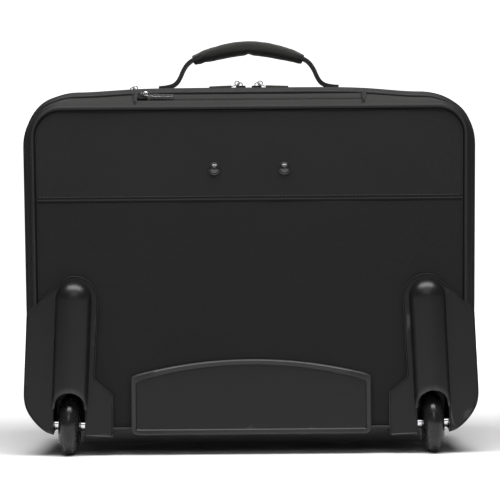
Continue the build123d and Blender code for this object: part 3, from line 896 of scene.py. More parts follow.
def rear_zip():
    tilt = math.atan(BAND_RISE)
    normal = (0, -math.sin(tilt), math.cos(tilt))
    middle = (SLOT_BACK + SLOT_FRONT) / 2

    def surface(y):
        t = (y - PANEL_BACK) / (CASE_BACK - 2.0 - PANEL_BACK)
        return REAR[3] + (SEAM[3] - REAR[3]) * t + 2.0 * math.sin(math.pi * t) ** 0.7

    back = zip_lip("rear_zip_lip_back", -SLOT_HALF - 1, SLOT_HALF + 1, SLOT_BACK - 1.5, middle - 1.2, surface,
                   GUSSET_PAINTED_LIGHT)
    front = zip_lip("rear_zip_lip_front", -SLOT_HALF - 1, SLOT_HALF + 1, SLOT_FRONT + 1.0, middle + 1.2,
                    surface, GUSSET_PAINTED_LIGHT)
    line = [(x, middle, band_z(middle) - 1.9) for x in np.linspace(-SLOT_HALF + 2, SLOT_HALF - 2, 60)]
    teeth = coil("rear_zip_coil", line, [normal] * len(line), COIL)
    for lip, edge in ((back, SLOT_BACK), (front, SLOT_FRONT)):
        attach(lip, "case")
        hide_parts("rear_zip_lips")
        band_z(edge) * MM
        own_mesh(lip)
    settle_on(teeth, "case", "zip_tape")
    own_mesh(teeth)
    for side in (-1, 1):
        ends = []
        for row in (0, 1):
            x = side * (SLOT_HALF + 0.2 + 1.9 * row)
            path = [(x, y, band_z(y) + 0.5) for y in np.linspace(SLOT_BACK + 1, SLOT_FRONT - 1, 20)]
            ends.append(stitches("bar", path, [normal] * 20, pitch=1.5, length=1.3, radius=0.4))
        name = "rear_zip_end_" + ("left" if side < 0 else "right")
        tab = block("tab", (side * SLOT_HALF - 1.2, SLOT_BACK + 1.5, 0),
                    (side * SLOT_HALF + 3.4, SLOT_FRONT - 1.5, 0.8),
                    GUSSET_PAINTED_LIGHT, 0.3)
        shear = Matrix(((1, 0, 0, 0), (0, 1, 0, 0), (0, BAND_RISE, 1, (band_z(0) - 0.25) * MM), (0, 0, 0, 1)))
        tab.data.transform(shear)
        settle_on(join(name, ends + [tab]), "case", "gusset_fabric")


def seam_cord():
    """Narrow bound seam between the rear and the main gusset."""
    y = (CASE_BACK - 1.0)
    cords = []
    for run in runs_between_wells(outline(SEAM, 1.0, 1.5)):
        line = [(x, y, z + droop(x, y, z)) for x, z in run]
        cords.append(swept("cord", line, circle(1.45, 10), PIPING))
    # near-black tube in front of the seam cord: painted shadow line beside the seam
    for run in runs_between_wells(outline(SEAM, -0.7, 1.5)):
        line = [(x, y - 2.7, z + droop(x, y, z)) for x, z in run]
        cords.append(swept("gap", line, circle(1.0, 8), PAINTED_SHADOW))
    settle_on(join("seam_piping_cord", cords), "case", "piping", "seam_piping")


LAPTOP_BACK, LAPTOP_FRONT, LAPTOP_LOW = -38.0, -22.0, 290.0


def main_band():
    depths = [CASE_BACK + 0.1, -49.2, -48, -46, -42, -38, -35, -30, -25, -22, -18, -12, -4, 4, 12, 20, 28, 36,
              44, 50, 54, 57, 59, CASE_FRONT - 0.2]
    first = (SEAM[0] - 0.2, SEAM[1] - 0.2, SEAM[2] + 0.2, SEAM[3] - 0.2, SEAM[4], SEAM[5])
    rows = []
    for y in depths:
        t = min(1.0, (y - CASE_BACK) / 12.0)
        back = math.sqrt(max(0.0, 1 - (1 - t) ** 2))
        ahead = min(1.0, (CASE_FRONT - y) / 8.0)
        roll = 1 - math.sqrt(max(0.0, 1 - (1 - ahead) ** 2))
        shape = blend_shapes(first, CASE, back)
        swell = 0.4 * math.sin(math.pi * (y - CASE_BACK) / (CASE_FRONT - CASE_BACK)) - 2.0 * roll
        row = []
        for x, z in outline(shape, swell):
            near = min(y - CASE_BACK, CASE_FRONT - y)
            wave = 0.7 * soft_noise((x, y, z), 52.0, 9.0) * min(1.0, near / 8)
            length = math.hypot(x, z - 190)
            row.append((x + wave * x / length, y, z + wave * (z - 190) / length + droop(x, y, z)))
        rows.append(row)
    made = outward(grid("main_gusset_cloth", rows, GUSSET_PAINTED_LIGHT, closed=True))
    thicken(made, 1.8, -1.0, LINING)
    cut(made, cutter_box((-206, LAPTOP_BACK, LAPTOP_LOW), (206, LAPTOP_FRONT, 400)))
    open_wells(made)
    settle_on(made, "case", "gusset_fabric", "main_gusset")


def laptop_zip():
    """Two covered tapes and a coil over the top and down both shoulders."""
    middle = (LAPTOP_BACK + LAPTOP_FRONT) / 2
    path = [p for p in outline(TOP_ZIP, 0.0, 1.5) if p[1] > LAPTOP_LOW - 2]
    centre = np.array([0.0, 250.0])
    for name, edge, gap in (("laptop_zip_lip_back", LAPTOP_BACK - 1, middle - 0.6),
                            ("laptop_zip_lip_front", LAPTOP_FRONT + 1, middle + 0.6)):
        rows = []
        for k in range(8):
            t = k / 7
            y = edge + (gap - edge) * t
            lift = -0.3 + 0.9 * math.sin(math.pi * min(t / 0.9, 1.0)) - 1.3 * max(0.0, (t - 0.7) / 0.3) ** 2
            row = []
            for x, z in path:
                out = np.array([x, z]) - centre
                out /= np.linalg.norm(out)
                row.append((x + out[0] * lift, y, z + out[1] * lift))
            rows.append(row)
        lip = outward(grid(name, rows, GUSSET_PAINTED_LIGHT))
        thicken(lip, 1.0, -1.0, TAPE)
        settle_on(sagged(lip), "case", "zip_tape", "laptop_zip_lips")
    line, normals = [], []
    for x, z in path:
        out = np.array([x, z]) - centre
        out /= np.linalg.norm(out)
        line.append((x - out[0] * 1.5, middle, z - out[1] * 1.5))
        normals.append((out[0], 0, out[1]))
    settle_on(sagged(coil("laptop_zip_coil", line, normals, COIL)), "case", "zip_tape")


# ================================================================ hard trim
ARCH_RADIUS = 15.5                 # the round opening over the wheel, in the guard's own frame
ARCH_CENTRE = 17
GUARD_SIDE = -45.2                 # the guard's outer side, in the same frame
GUARD_CORNER = [(-ARCH_RADIUS, -9.2), (-24.5, -5.8), (-34.8, 3.4), (-41.8, 13.8), (-44.7, 24.0),
                (GUARD_SIDE, 36.0)]


def guard_outline():
    """Face of the left guard, from the axle centre, with the wheel arch taken out."""
    outer = rounded([(GUARD_SIDE, 40), (GUARD_SIDE, 106.8), (-6.5, 145.2), (24.2, 145.2), (23.2, 46),
                     (41.5, 31.5), (43.3, -10), (ARCH_RADIUS, -10)],
                    [0, 4, 14, 24, 6, 4, 3, 0], arc=10, lines=6)
    outer = [tuple(p) for p in outer[:-5]]
    arch = [(ARCH_RADIUS * math.cos(a), ARCH_CENTRE + ARCH_RADIUS * math.sin(a))
            for a in np.linspace(0, math.pi, 28)]
    corner = [(p[0], p[1]) for p in spline([(*p, 0) for p in GUARD_CORNER], 26)]
    return outer + arch + corner


def guard_face(side):
    """Face plate with a proud rounded rim along its free edge."""
    place = local(side)
    points = guard_outline()
    verts = [(u, 0.0, w) for u, w in points]
    mesh = bpy.data.meshes.new("face")
    work = bmesh.new()
    made = [work.verts.new(v) for v in verts]
    face = work.faces.new(made)
    bmesh.ops.recalc_face_normals(work, faces=[face])
    if face.normal.y > 0:
        bmesh.ops.reverse_faces(work, faces=[face])
    result = bmesh.ops.extrude_face_region(work, geom=[face])
    front = [v for v in result["geom"] if isinstance(v, bmesh.types.BMVert)]
    front_face = [f for f in result["geom"] if isinstance(f, bmesh.types.BMFace)][0]
    for v in front:
        v.co.y = GUARD_Y - PANEL_Y
    bmesh.ops.inset_region(work, faces=[front_face], thickness=0.9, depth=0.0)
    bmesh.ops.inset_region(work, faces=[front_face], thickness=0.6, depth=0.0)
    level = set(front_face.verts)
    for v in work.verts:
        if v.co.y < -2.0 and v not in level:
            v.co.y -= 0.9
    bmesh.ops.recalc_face_normals(work, faces=work.faces)
    for v in work.verts:
        x, y, z = place(v.co.x, PANEL_Y + v.co.y, v.co.z)
        v.co = Vector((x, y, z)) * MM
    work.to_mesh(mesh)
    work.free()
    mesh.materials.append(GUARD)
    obj = bpy.data.objects.new("guard_face_" + side, mesh)
    bpy.context.scene.collection.objects.link(obj)
    outward(obj)
    finish_mesh(obj)
    return rounded_edges(obj, 0.55, 3, 25.0)


BULGE_R, BULGE_TOP = 16.6, 139.5


def guard_bulge(side):
    """Half-round rib with a domed top, cut by the wheel arch at its foot."""
    place = local(side)
    rows = []
    turns = [math.pi * k / 36 for k in range(37)]
    low_at, dome_w = [], BULGE_TOP - BULGE_R
    for a in turns:
        u = BULGE_R * math.cos(a)
        low_at.append(ARCH_CENTRE + math.sqrt(ARCH_RADIUS ** 2 - u ** 2) if abs(u) < ARCH_RADIUS else 16.0)
    for k in range(25):
        t = k / 24
        rows.append([place(BULGE_R * math.cos(a), GUARD_Y + 0.6 - (BULGE_R - 3) * math.sin(a) ** 0.9,
                           low + (dome_w - low) * t) for a, low in zip(turns, low_at)])
    for k in range(1, 15):
        lift = 0.5 * math.pi * k / 14
        rows.append([place(BULGE_R * math.cos(a) * math.cos(lift),
                           GUARD_Y + 0.6 - (BULGE_R - 3) * math.sin(a) ** 0.9 * math.cos(lift),
                           dome_w + BULGE_R * math.sin(lift)) for a in turns])
    rib = outward(grid("rib", rows, GUARD, angle=60.0))
    modifier(rib, "SOLIDIFY", thickness=2.0 * MM, offset=0.0)
    applied(rib)
    finish_mesh(rib, True, 60.0)
    return rib


def guard_parts(side):
    place = local(side)
    parts = [guard_face(side), guard_bulge(side)]
    walls = []
    for sign in (-1, 1):
        u0, u1 = sorted((sign * ARCH_RADIUS, sign * 18.0))
        walls.append(((u0, PANEL_Y - 2.0, -9), (u1, -41, WELL_TOP)))
    walls.append(((-18, PANEL_Y - 1.0, WELL_TOP - 2.5), (18, -41, WELL_TOP)))
    walls.append(((-18, -43.5, -9), (18, -41, WELL_TOP)))
    walls.append(((16, PANEL_Y - 1.5, -10.2), (42.5, -58, -8.0)))
    for low, high in walls:
        box = block("wall", low, high, GUARD, 0.5)
        for v in box.data.vertices:
            v.co = Vector(place(*(v.co / MM))) * MM
        outward(box)
        finish_mesh(box, True, 40.0)
        parts.append(box)
    for sign in (-1, 1):
        profile = [(sign * 15.6, 4.1), (sign * 15.4, 7.6), (sign * 15.6, 8.0), (sign * 18.2, 8.0),
                   (sign * 20.8, 7.4), (sign * 21.0, 6.8), (sign * 21.0, 5.0)]
        parts.append(lathe("boss", profile, GUARD, lambda a, s, c: place(a, AXLE_Y + s, c), 32))
    rows = []
    edge = [(p[0], p[1]) for p in spline([(*p, 0) for p in GUARD_CORNER], 26)]
    edge += [(GUARD_SIDE, w) for w in np.linspace(40, 104, 14)] + [(-44.4, 106.8), (-41.6, 110.5),
                                                                   (-37, 115.0),
                                                              (-31.5, 120.4)]
    for depth in (PANEL_Y + 0.2, PANEL_Y + 4, PANEL_Y + 12, PANEL_Y + 20, PANEL_Y + 28, PANEL_Y + 33.5):
        rows.append([place(u + 0.9 - 0.05 * (depth - PANEL_Y), depth, w) for u, w in edge])
    skirt = outward(grid("skirt", rows, GUARD))
    modifier(skirt, "SOLIDIFY", thickness=2.0 * MM, offset=0.0)
    applied(skirt)
    rounded_edges(skirt, 0.5, 2, 40.0)
    parts.append(skirt)
    guard = refined(join("wheel_guard_shell_" + side, parts))
    finish_mesh(guard, True, 45.0)
    settle_on(crisp(guard), "case", "guard_plastic", "wheel_guard_" + side)


def kick_outline(inset=0.0, steps=40):
    """Kick plate's face: straight foot and sides under a shallow arch."""
    half, low, corner, top = 116.8 - inset, KICK_LOW[2] + inset, 77.4 - inset * 1.05, 93.0 - inset
    rise = top - corner
    radius = (half ** 2 + rise ** 2) / (2 * rise)
    reach = math.asin(half / radius)
    arch = [(radius * math.sin(a), top - radius + radius * math.cos(a))
            for a in np.linspace(reach, -reach, steps + 1)]
    points = [(-half, low), (half, low)] + arch[0:1] + arch[-1:]
    r = max(6.0 - inset, 1.0)
    shape = rounded(points, [r, r, 2.5, 2.5], arc=8, lines=[20, 6, 1, 6])
    body = []
    for i, (x, z) in enumerate(shape):
        body.append((x, z))
        after = shape[(i + 1) % len(shape)]
        if x > half * 0.9 and after[0] < -half * 0.9 and z > corner - 3:
            body += [p for p in arch[1:-1] if abs(p[0]) < half - 4]
    return body


KICK_POINTS = 220                  # points round the kick plate's outline
# inset from the plate's edge and depth from its face, for each line of the raised rim
KICK_RIM = ((0.7, 0.2), (0.7, -1.0), (1.2, -1.5), (4.4, -1.5), (5.0, -1.1), (5.8, 0.2))


def kick_plate():
    """Moulded plate between the guards, with a raised rim and a flange under the case."""
    plate = prism("plate", kick_outline(), GUARD_Y, PANEL_Y + 0.3, GUARD, 0.8)
    rows = [[(x, GUARD_Y + y, z) for x, z in resample(kick_outline(inset), KICK_POINTS)]
            for inset, y in KICK_RIM]
    rim = outward(grid("rim", rows, GUARD, closed=True))
    flange = block("flange", (-108, PANEL_Y - 1.5, KICK_LOW[2] + 0.2), (108, -58, KICK_LOW[2] + 1.8), GUARD,
                   0.6)
    made = refined(join("kick_plate_shell", [plate, rim, flange]))
    finish_mesh(made, True, 40.0)
    settle_on(crisp(made), "case", "guard_plastic", "kick_plate")


def resample(points, count):
    """The same closed outline with evenly spaced points, from its lowest left corner."""
    points = np.array(points, float)
    loop = np.vstack([points, points[:1]])
    at = np.concatenate([[0], np.cumsum(np.linalg.norm(np.diff(loop, axis=0), axis=1))])
    return [(np.interp(at[-1] * k / count, at, loop[:, 0]), np.interp(at[-1] * k / count, at, loop[:, 1]))
            for k in range(count)]


def rivets():
    low, high = cad_box("panel_rivets")
    x, z = high[0] - 6.2, (low[2] + high[2]) / 2
    made = []
    for side in (-1, 1):
        profile = [(0.4, 6.3), (-0.6, 6.3), (-1.1, 5.9), (-1.2, 5.2), (-0.8, 4.9), (-1.6, 4.6), (-2.3, 3.9),
                   (-2.8, 2.7), (-3.05, 1.3), (-3.1, 0.0)]
        made.append(lathe("head", profile, RIVET, lambda a, s, c: (side * x + s, PANEL_Y - 1.4 + a, z + c),
                          40))
    settle_on(join("panel_rivet_heads", made), "case", "rivet_black")


# ================================================================ wheels
def wheel(side):
    place = local(side)

    def on_axle(a, s, c):
        return place(a, AXLE_Y + s, c)

    tread = []
    for k in range(29):
        a = math.pi * k / 28
        tread.append((-10.6 * math.copysign(abs(math.cos(a)) ** 1.05, math.cos(a)),
                      14.5 + 15.5 * math.sin(a) ** 1.05))
    tread = [p for p in tread if p[1] > 18.2]
    profile = [(-9.4, 17.0), (-10.2, 17.8)] + tread + [(10.2, 17.8), (9.4, 17.0)]
    tyre = lathe("tyre_" + side + "_urethane", profile, TYRE, on_axle, 72)
    settle_on(tyre, "wheel_" + side, "tyre", "tyre_" + side)
    rim = [(-8.6, 17.05), (-9.5, 16.6), (-9.5, 12.0), (-9.3, 11.1), (9.3, 11.1), (9.5, 12.0), (9.5, 16.6),
           (8.6, 17.05)]
    hub = [lathe("rim", rim, HUB, on_axle, 60)]
    for k in range(6):
        turn = 2 * math.pi * k / 6
        rib = block("spoke", (-9.9, -1.3, 11.4), (9.9, 1.3, 16.7), HUB, 0.5)
        spin = Matrix.Rotation(turn, 4, "X")
        for v in rib.data.vertices:
            p = spin @ (v.co / MM)
            v.co = Vector(on_axle(p.x, p.y, p.z)) * MM
        outward(rib)
        hub.append(rib)
    made = join("hub_" + side + "_core", hub)
    finish_mesh(made, True, 40.0)
    settle_on(made, "wheel_" + side, "hub_plastic", "hub_" + side)
    races = []
    for sign in (-1, 1):
        a0, a1 = sign * 9.5, sign * 2.5
        ring = [(a1, 11.0), (a0 - sign * 0.3, 11.0), (a0, 10.7), (a0, 9.6), (a0 - sign * 0.5, 9.3),
                (a0 - sign * 0.5, 6.6), (a0, 6.2), (a0, 4.3), (a0 - sign * 0.3, 4.02), (a1, 4.02)]
        races.append(lathe("race", ring, BEARING, on_axle, 48))
    made = join("bearings_" + side + "_races", races)
    finish_mesh(made, True, 40.0)
    settle_on(made, "wheel_" + side, "bearing_steel", "bearings_" + side)


# ================================================================ carry handle
def spline(points, count):
    """Smooth path through the points (Catmull-Rom)."""
    points = [np.array(p, float) for p in points]
    padded = [2 * points[0] - points[1]] + points + [2 * points[-1] - points[-2]]
    out = []
    spans = len(points) - 1
    for k in range(count + 1):
        t = spans * k / count
        i = min(int(t), spans - 1)
        f = t - i
        p0, p1, p2, p3 = padded[i:i + 4]
        out.append(0.5 * (2 * p1 + (p2 - p0) * f + (2 * p0 - 5 * p1 + 4 * p2 - p3) * f ** 2
                          + (3 * p1 - p0 - 3 * p2 + p3) * f ** 3))
    return out


HANDLE_Y = (GRIP_LOW[1] + GRIP_HIGH[1]) / 2
BASE_X = 71.0


def carry_grip():
    """Padded sleeve over the webbing: fat in the middle, folded flat at its ends."""
    path = spline([(-56.0, 0, 388.2), (-40, 0, 393.4), (-20, 0, 398.2), (0, 0, 400.2), (20, 0, 398.0),
                   (40, 0, 393.0), (55.0, 0, 387.6)], 64)
    rows = []
    for i, p in enumerate(path):
        t = 2 * i / 64 - 1
        full = (1 - abs(t) ** 3.0)
        half_w = 10.5 + 1.6 * full
        up, down = 4.4 + 2.3 * full, 4.6 + 2.9 * full
        down -= 1.6 * math.exp(-(t / 0.045) ** 2)
        down += 0.5 * math.exp(-((t + 0.86) / 0.04) ** 2) - 0.6 * math.exp(-((t + 0.76) / 0.05) ** 2)
        before, after = path[max(i - 1, 0)], path[min(i + 1, 64)]
        way = (after - before) / np.linalg.norm(after - before)
        lift = np.array([-way[2], 0, way[0]])
        row = []
        for k in range(40):
            a = 2 * math.pi * k / 40
            s, c = math.sin(a), math.cos(a)
            deep = half_w * math.copysign(abs(c) ** 0.8, c)
            tall = (up if s > 0 else down) * math.copysign(abs(s) ** 0.75, s)
            wrinkle = 0.55 * soft_noise((p[0] * 1.6, deep * 2, tall * 3), 9.0, 2.0) * (0.4 + abs(t))
            row.append(p + lift * (tall + wrinkle) + np.array([0, HANDLE_Y + deep, 0]))
        rows.append(row)
    return outward(grid("carry_grip_sleeve", rows, WRAP, closed=True, cap=True))


def swell(obj, pressure, limit, steps=20):
    """Cloth simulation that fills the piece, with every point held within limit of where it began."""
    start = np.array([v.co for v in obj.data.vertices], float)
    cloth = modifier(obj, "CLOTH")
    cloth.settings.use_pressure = True
    cloth.settings.uniform_pressure_force = pressure
    cloth.settings.tension_stiffness = 25
    cloth.settings.compression_stiffness = 25
    cloth.settings.shear_stiffness = 12
    cloth.settings.bending_stiffness = 1.5
    cloth.settings.effector_weights.gravity = 0
    cloth.settings.quality = 6
    scene = bpy.context.scene
    for step in range(1, steps + 1):
        scene.frame_set(step)
    graph = bpy.context.evaluated_depsgraph_get()
    moved = bpy.data.meshes.new_from_object(obj.evaluated_get(graph), depsgraph=graph)
    obj.modifiers.clear()
    end = np.array([v.co for v in moved.vertices], float)
    bpy.data.meshes.remove(moved)
    scene.frame_set(1)
    way = end - start
    far = np.linalg.norm(way, axis=1, keepdims=True)
    share = np.minimum(1.0, limit * MM / np.maximum(far, 1e-9))
    for v, p in zip(obj.data.vertices, start + way * share):
        v.co = p
    obj.data.update()


def carry_handle():
    grip = carry_grip()
    swell(grip, 3.0, 1.2)
    modifier(grip, "SUBSURF", levels=1, render_levels=1)
    applied(grip)
    finish_mesh(grip, True, None)
    settle_on(grip, "carry_handle", "grip_leatherette", "carry_grip")
    for side in (-1, 1):
        name = "left" if side < 0 else "right"
        legs = spline([(side * 90, HANDLE_Y, 360.2), (side * 82, HANDLE_Y, 361.1),
                       (side * 76, HANDLE_Y, 362.7), (side * 71.6, HANDLE_Y, 366),
                       (side * 68.3, HANDLE_Y, 371.5), (side * 65.6, HANDLE_Y, 377.5),
                       (side * 61.6, HANDLE_Y, 383.6), (side * 56, HANDLE_Y, 388),
                       (side * 48, HANDLE_Y, 390.6)], 48)
        strap = strip("carry_webbing_" + name, spline(legs, 200), 23.0, 3.5, WEBBING, braid=0.5)
        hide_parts("carry_webbing")
        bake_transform(strap)


def strip(name, path, width, thick, material, columns=8, braid=0.0):
    """Flat strap along a path in the x-z plane, with UVs along it; braid is the height of its ribs."""
    path = np.array(path, float)
    bed, rows = thick, []
    for i, p in enumerate(path):
        way = path[min(i + 1, len(path) - 1)] - path[max(i - 1, 0)]
        way /= np.linalg.norm(way)
        lift = np.array([-way[2], 0, way[0]])
        ring = []
        thick = bed + braid * math.sin(i * 1.35)
        for k in range(columns + 1):
            y = width * (k / columns - 0.5)
            bulge = 0.16 * math.cos(math.pi * (k / columns - 0.5))
            ring.append(p + lift * (thick / 2 + bulge) + np.array([0, y, 0]))
        for k in range(columns + 1):
            y = width * (0.5 - k / columns)
            ring.append(p - lift * thick / 2 + np.array([0, y, 0]))
        rows.append(ring)
    return outward(grid(name, rows, material, closed=True, cap=True, angle=60))


def handle_patches():
    """Webbing patches that hold the legs, each with a boxed cross of stitches."""
    made = []
    for side in (-1, 1):
        middle = side * BASE_X + (4 if side > 0 else 0) - 2
        rows = []
        for k in range(25):
            x = middle - 16 + 32 * k / 24
            row = []
            for j in range(21):
                y = HANDLE_Y - 14 + 28 * j / 20
                edge = min(k, 24 - k) / 24 * 32, min(j, 20 - j) / 20 * 28
                row.append((x, y, CASE[3] + 1.0 - 1.3 * (1 - smooth(min(edge) / 3.0))))
            rows.append(row)
        made.append(thicken(outward(grid("patch", rows, WEBBING)), 1.2, -1.0))
        box = [(-11, -10), (11, -10), (11, 10), (-11, 10), (-11, -10), (11, 10), (11, -10), (-11, 10)]
        path = []
        for a, b in zip(box, box[1:]):
            path += [(middle + a[0] + (b[0] - a[0]) * t, HANDLE_Y + a[1] + (b[1] - a[1]) * t, CASE[3] + 1.1)
                     for t in np.linspace(0, 1, 12)]
        made.append(stitches("cross", path, [(0, 0, 1)] * len(path), material=THREAD))
    settle_on(join("handle_patch_pads", made), "case", "webbing", "handle_patches")


# ================================================================ zip sliders and pullers
def zip_pieces():
    tilt = math.atan(BAND_RISE)
    spots = {"rear_zip": (1, tilt), "laptop_zip_left": (-1, 0.0), "laptop_zip_right": (1, 0.0),
             "main_zip": (1, 0.0)}
    for name, (side, lean) in spots.items():
        low, high = cad_box(name + "_slider")
        middle = (low + high) / 2
        base = Vector((middle[0], middle[1], low[2] - 1.1))
        turn = Matrix.Rotation(lean, 4, "X")
        if lean:
            joint = next(j for j in frame["joints"] if j["name"] == name + "_puller_swing")
            pivot = Vector(joint["pos_m"]) / MM
            base = pivot - turn @ Vector((side * 1.95, 0, 4.2))
        place = Matrix.Translation(base) @ turn

        def put(obj):
            for v in obj.data.vertices:
                v.co = (place @ (v.co / MM)) * MM
            outward(obj)
            finish_mesh(obj, True, 40.0)
            return obj

        shape = [(-5.0, 2.4), (-3.4, 3.9), (2.0, 4.0), (4.8, 2.2), (4.8, -2.2), (2.0, -4.0), (-3.4, -3.9),
                 (-5.0, -2.4)]
        shape = rounded([(a * side, b) for a, b in shape], [1.4] * 8, arc=4)
        body = plate("body", shape, 0.2, 2.6, COIL, 0.45)
        arch = spline([(-1.9 * side, 0, 2.2), (-1.5 * side, 0, 4.6), (0.6 * side, 0, 5.6),
                       (3.0 * side, 0, 4.8), (3.5 * side, 0, 2.2)], 20)
        bridge = strip("bridge", arch, 2.2, 0.9, PULL, 3)
        slider = join(name + "_slider_body", [put(body), put(bridge)])
        settle_on(crisp(slider), name + "_slider", "zip_metal", name + "_slider")
        covered = name.startswith("laptop")
        ends = ((31.2, 2.9), (9.0, 2.9)) if covered else ((31.2, 1.9), (8.0, 3.0))
        (far, thin), (near, wide) = ends
        tab = rounded([(near, -wide), (far, -thin), (far, thin), (near, wide)], [1.6] * 4, arc=6)
        low_z, high_z = (2.9, 5.3) if covered else (2.7, 5.3)
        pull = [plate("tab", [(a * side, b) for a, b in tab], low_z, high_z, COVER if covered else PULL, 0.5)]
        for v in pull[0].data.vertices:
            along = max(0.0, (abs(v.co.x) / MM - near) / (far - near))
            rest = 2.9 if lean else 1.75
            v.co.z = (rest + (v.co.z / MM - 4.1) * (1 - 0.35 * along) - 0.35 * along) * MM
        link = rounded([(1.2, -1.9), (9.5, -1.6), (9.5, 1.6), (1.2, 1.9)], [1.4, 0.8, 0.8, 1.4], arc=5)
        link = plate("link", [(a * side, b) for a, b in link], 3.7, 4.7, PULL, 0.25)
        hole = rounded([(2.7, -1.2), (6.6, -1.1), (6.6, 1.1), (2.7, 1.2)], [0.9] * 4, arc=4)
        cut(link, plate("hole", [(a * side, b) for a, b in hole], 2.0, 6.5, PULL, 0.0))
        loop = [(side * 3.4 + 2.3 * math.cos(a), 0, 5.0 + 2.1 * math.sin(a))
                for a in np.linspace(0, 2 * math.pi, 25)[:-1]]
        ring = swept("ring", loop, circle(0.5, 8), CHROME, closed=True)
        for v in link.data.vertices:
            v.co.z -= (1.4 if lean else 2.5) * MM * max(0.0, (abs(v.co.x) / MM - 1.95) / 7.5)
        pull = join(name + "_puller_tab", [put(each) for each in pull + [link, ring]])
        settle_on(crisp(pull), name + "_puller", "grip_leatherette" if covered else "zip_metal",
                  name + "_puller")


def plate(name, points, z0, z1, material, bevel):
    """Flat plate from an outline in x and y, between two heights."""
    count = len(points)
    verts = [(x, y, z0) for x, y in points] + [(x, y, z1) for x, y in points]
    sides = [(i, (i + 1) % count, (i + 1) % count + count, i + count) for i in range(count)]
    faces = [tuple(range(count))[::-1], tuple(range(count, 2 * count))] + sides
    obj = outward(mesh_object(name, verts, faces, material))
    if bevel:
        rounded_edges(obj, bevel, 2)
    return obj


# ================================================================ front lid
def front_lid():
    y0, y1 = LID_LOW[1], LID_HIGH[1]
    depths = [y0, y0 + 1, y0 + 3, y0 + 7, y0 + 13, y0 + 20, y0 + 27, y1 - 6, y1 - 3, y1 - 1, y1]
    shell = band("lid_gusset_cloth", LID, LID, depths, GUSSET_PAINTED_LIGHT, 0.8, LINING, 12.0)
    settle_on(shell, "lid", "gusset_fabric", "lid_gusset")

    def face_y(x, z):
        seam = 0.45 * math.exp(-((z - YOKE_Z) / 0.8) ** 2)
        return min(y1 + crown(x, z, LID, 1.2) - seam + 0.2 * soft_noise((x, 0, z), 55.0, 20.0),
                   PIPING_HIGH[1])

    panel = grid("lid_panel_cloth", panel_rows(LID, ease(LID[2], LID[3], 70), face_y), BODY)
    outward(panel)
    modifier(panel, "SOLIDIFY", thickness=1.2 * MM, offset=0.0)
    applied(panel)
    settle_on(outward(panel), "lid", "body_fabric", "lid_panel")
    cord = swept("lid_piping_cord", [(x, y1 + 0.2, z) for x, z in outline(LID, 0.2, 1.5)], circle(1.55, 10),
                 PIPING, closed=True)
    settle_on(cord, "lid", "piping", "lid_piping")


def button_spring():
    """Coil spring under the release button."""
    low, high = cad_box("button_spring")
    middle = (low + high) / 2
    wire = 0.4
    radius = (high[0] - low[0]) / 2 - wire
    height = high[2] - low[2] - 2 * wire
    turns, steps = 5, 24
    path = []
    for k in range(turns * steps + 1):
        a = 2 * math.pi * k / steps
        rise = height * smooth(k / (turns * steps))
        path.append((middle[0] + radius * math.cos(a), middle[1] + radius * math.sin(a),
                     low[2] + wire + rise))
    made = swept("button_spring_coil", path, circle(wire, 8), FASTENER, up=(0, 0, 1))
    settle_on(made, "trolley_grip", "steel_fastener", "button_spring")
    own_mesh(made)


# ================================================================ inside
INNER = (213.7, 217.7, CASE_LOW[2] + 2.3, CASE_HIGH[2] - 3.6, 51.7, 35.7)


def quilted(x, z, shape, pitch, deep):
    """Stitched diamond quilting that fades out at the edge."""
    a, b = (x + z) * math.pi / pitch, (x - z) * math.pi / pitch
    fill = (abs(math.sin(a)) * abs(math.sin(b))) ** 0.4
    edge = min(half_width(shape, z) - abs(x), z - shape[2], shape[3] - z)
    return deep * fill * smooth(edge / 10)


def padded_panel(name, shape, y_back, y_front, pitch, material, levels):
    """Closed pad with a quilted face on each side, thin at its bound edge."""
    middle = (y_back + y_front) / 2
    half = (y_front - y_back) / 2
    sheets = []
    for sign in (-1, 1):
        rows = panel_rows(shape, levels, lambda x,
                          z: middle + sign * (0.5 + quilted(x, z, shape, pitch, half - 0.5)))
        sheets.append(grid("sheet", rows, material))
    made = join(name, sheets)
    work = bmesh.new()
    work.from_mesh(made.data)
    rims = [e for e in work.edges if e.is_boundary]
    bmesh.ops.bridge_loops(work, edges=rims)
    bmesh.ops.recalc_face_normals(work, faces=work.faces)
    work.to_mesh(made.data)
    work.free()
    finish_mesh(made, True, 60.0)
    return made


def inside():
    levels = [z for z in np.linspace(INNER[2] + 0.2, INNER[3] - 0.2, 90)]
    low, high = cad_box("trolley_partition")
    wall = padded_panel("trolley_partition_lining", INNER, low[1] + 0.1, high[1] - 0.1, 34.0, LINING, levels)
    open_wells(wall)
    settle_on(sagged(wall), "case", "lining", "trolley_partition")
    low, high = cad_box("inner_divider")
    shape = (INNER[0], INNER[1], low[2], INNER[3], INNER[4], 12.0)
    levels = [z for z in np.linspace(low[2] + 0.2, INNER[3] - 0.2, 90)]
    pad = padded_panel("inner_divider_pad", shape, low[1], high[1], 40.0, LINING, levels)
    settle_on(sagged(pad), "case", "lining", "inner_divider")


MAIN_ZIP_LOW = 48.0


def main_zip():
    """Tape and coil between the case and its lid, round all but the bottom."""
    low, high = cad_box("main_zip_tape")
    y = (low[1] + high[1]) / 2
    path = [p for p in outline(CASE, -4.2, 1.5) if p[1] > MAIN_ZIP_LOW]
    start = next(i for i in range(len(path)) if math.hypot(path[i][0] - path[i - 1][0],
                                                           path[i][1] - path[i - 1][1]) > 60)
    path = path[start:] + path[:start]
    line = [(x, y, z) for x, z in path]
    normals = [(x / math.hypot(x, z - 200), 0, (z - 200) / math.hypot(x, z - 200)) for x, z in path]
    tape = swept("tape", line, [(-1.0, -1.9), (1.0, -1.9), (1.0, 0.9), (-1.0, 0.9)], TAPE)
    teeth = coil("teeth", [(x + n[0] * 1.5, y, z + n[2] * 1.5) for (x, z), n in zip(path, normals)], normals,
                 COIL, 1.6, 1.7)
    settle_on(sagged(join("main_zip_band", [tape, teeth])), "case", "zip_tape", "main_zip_tape")


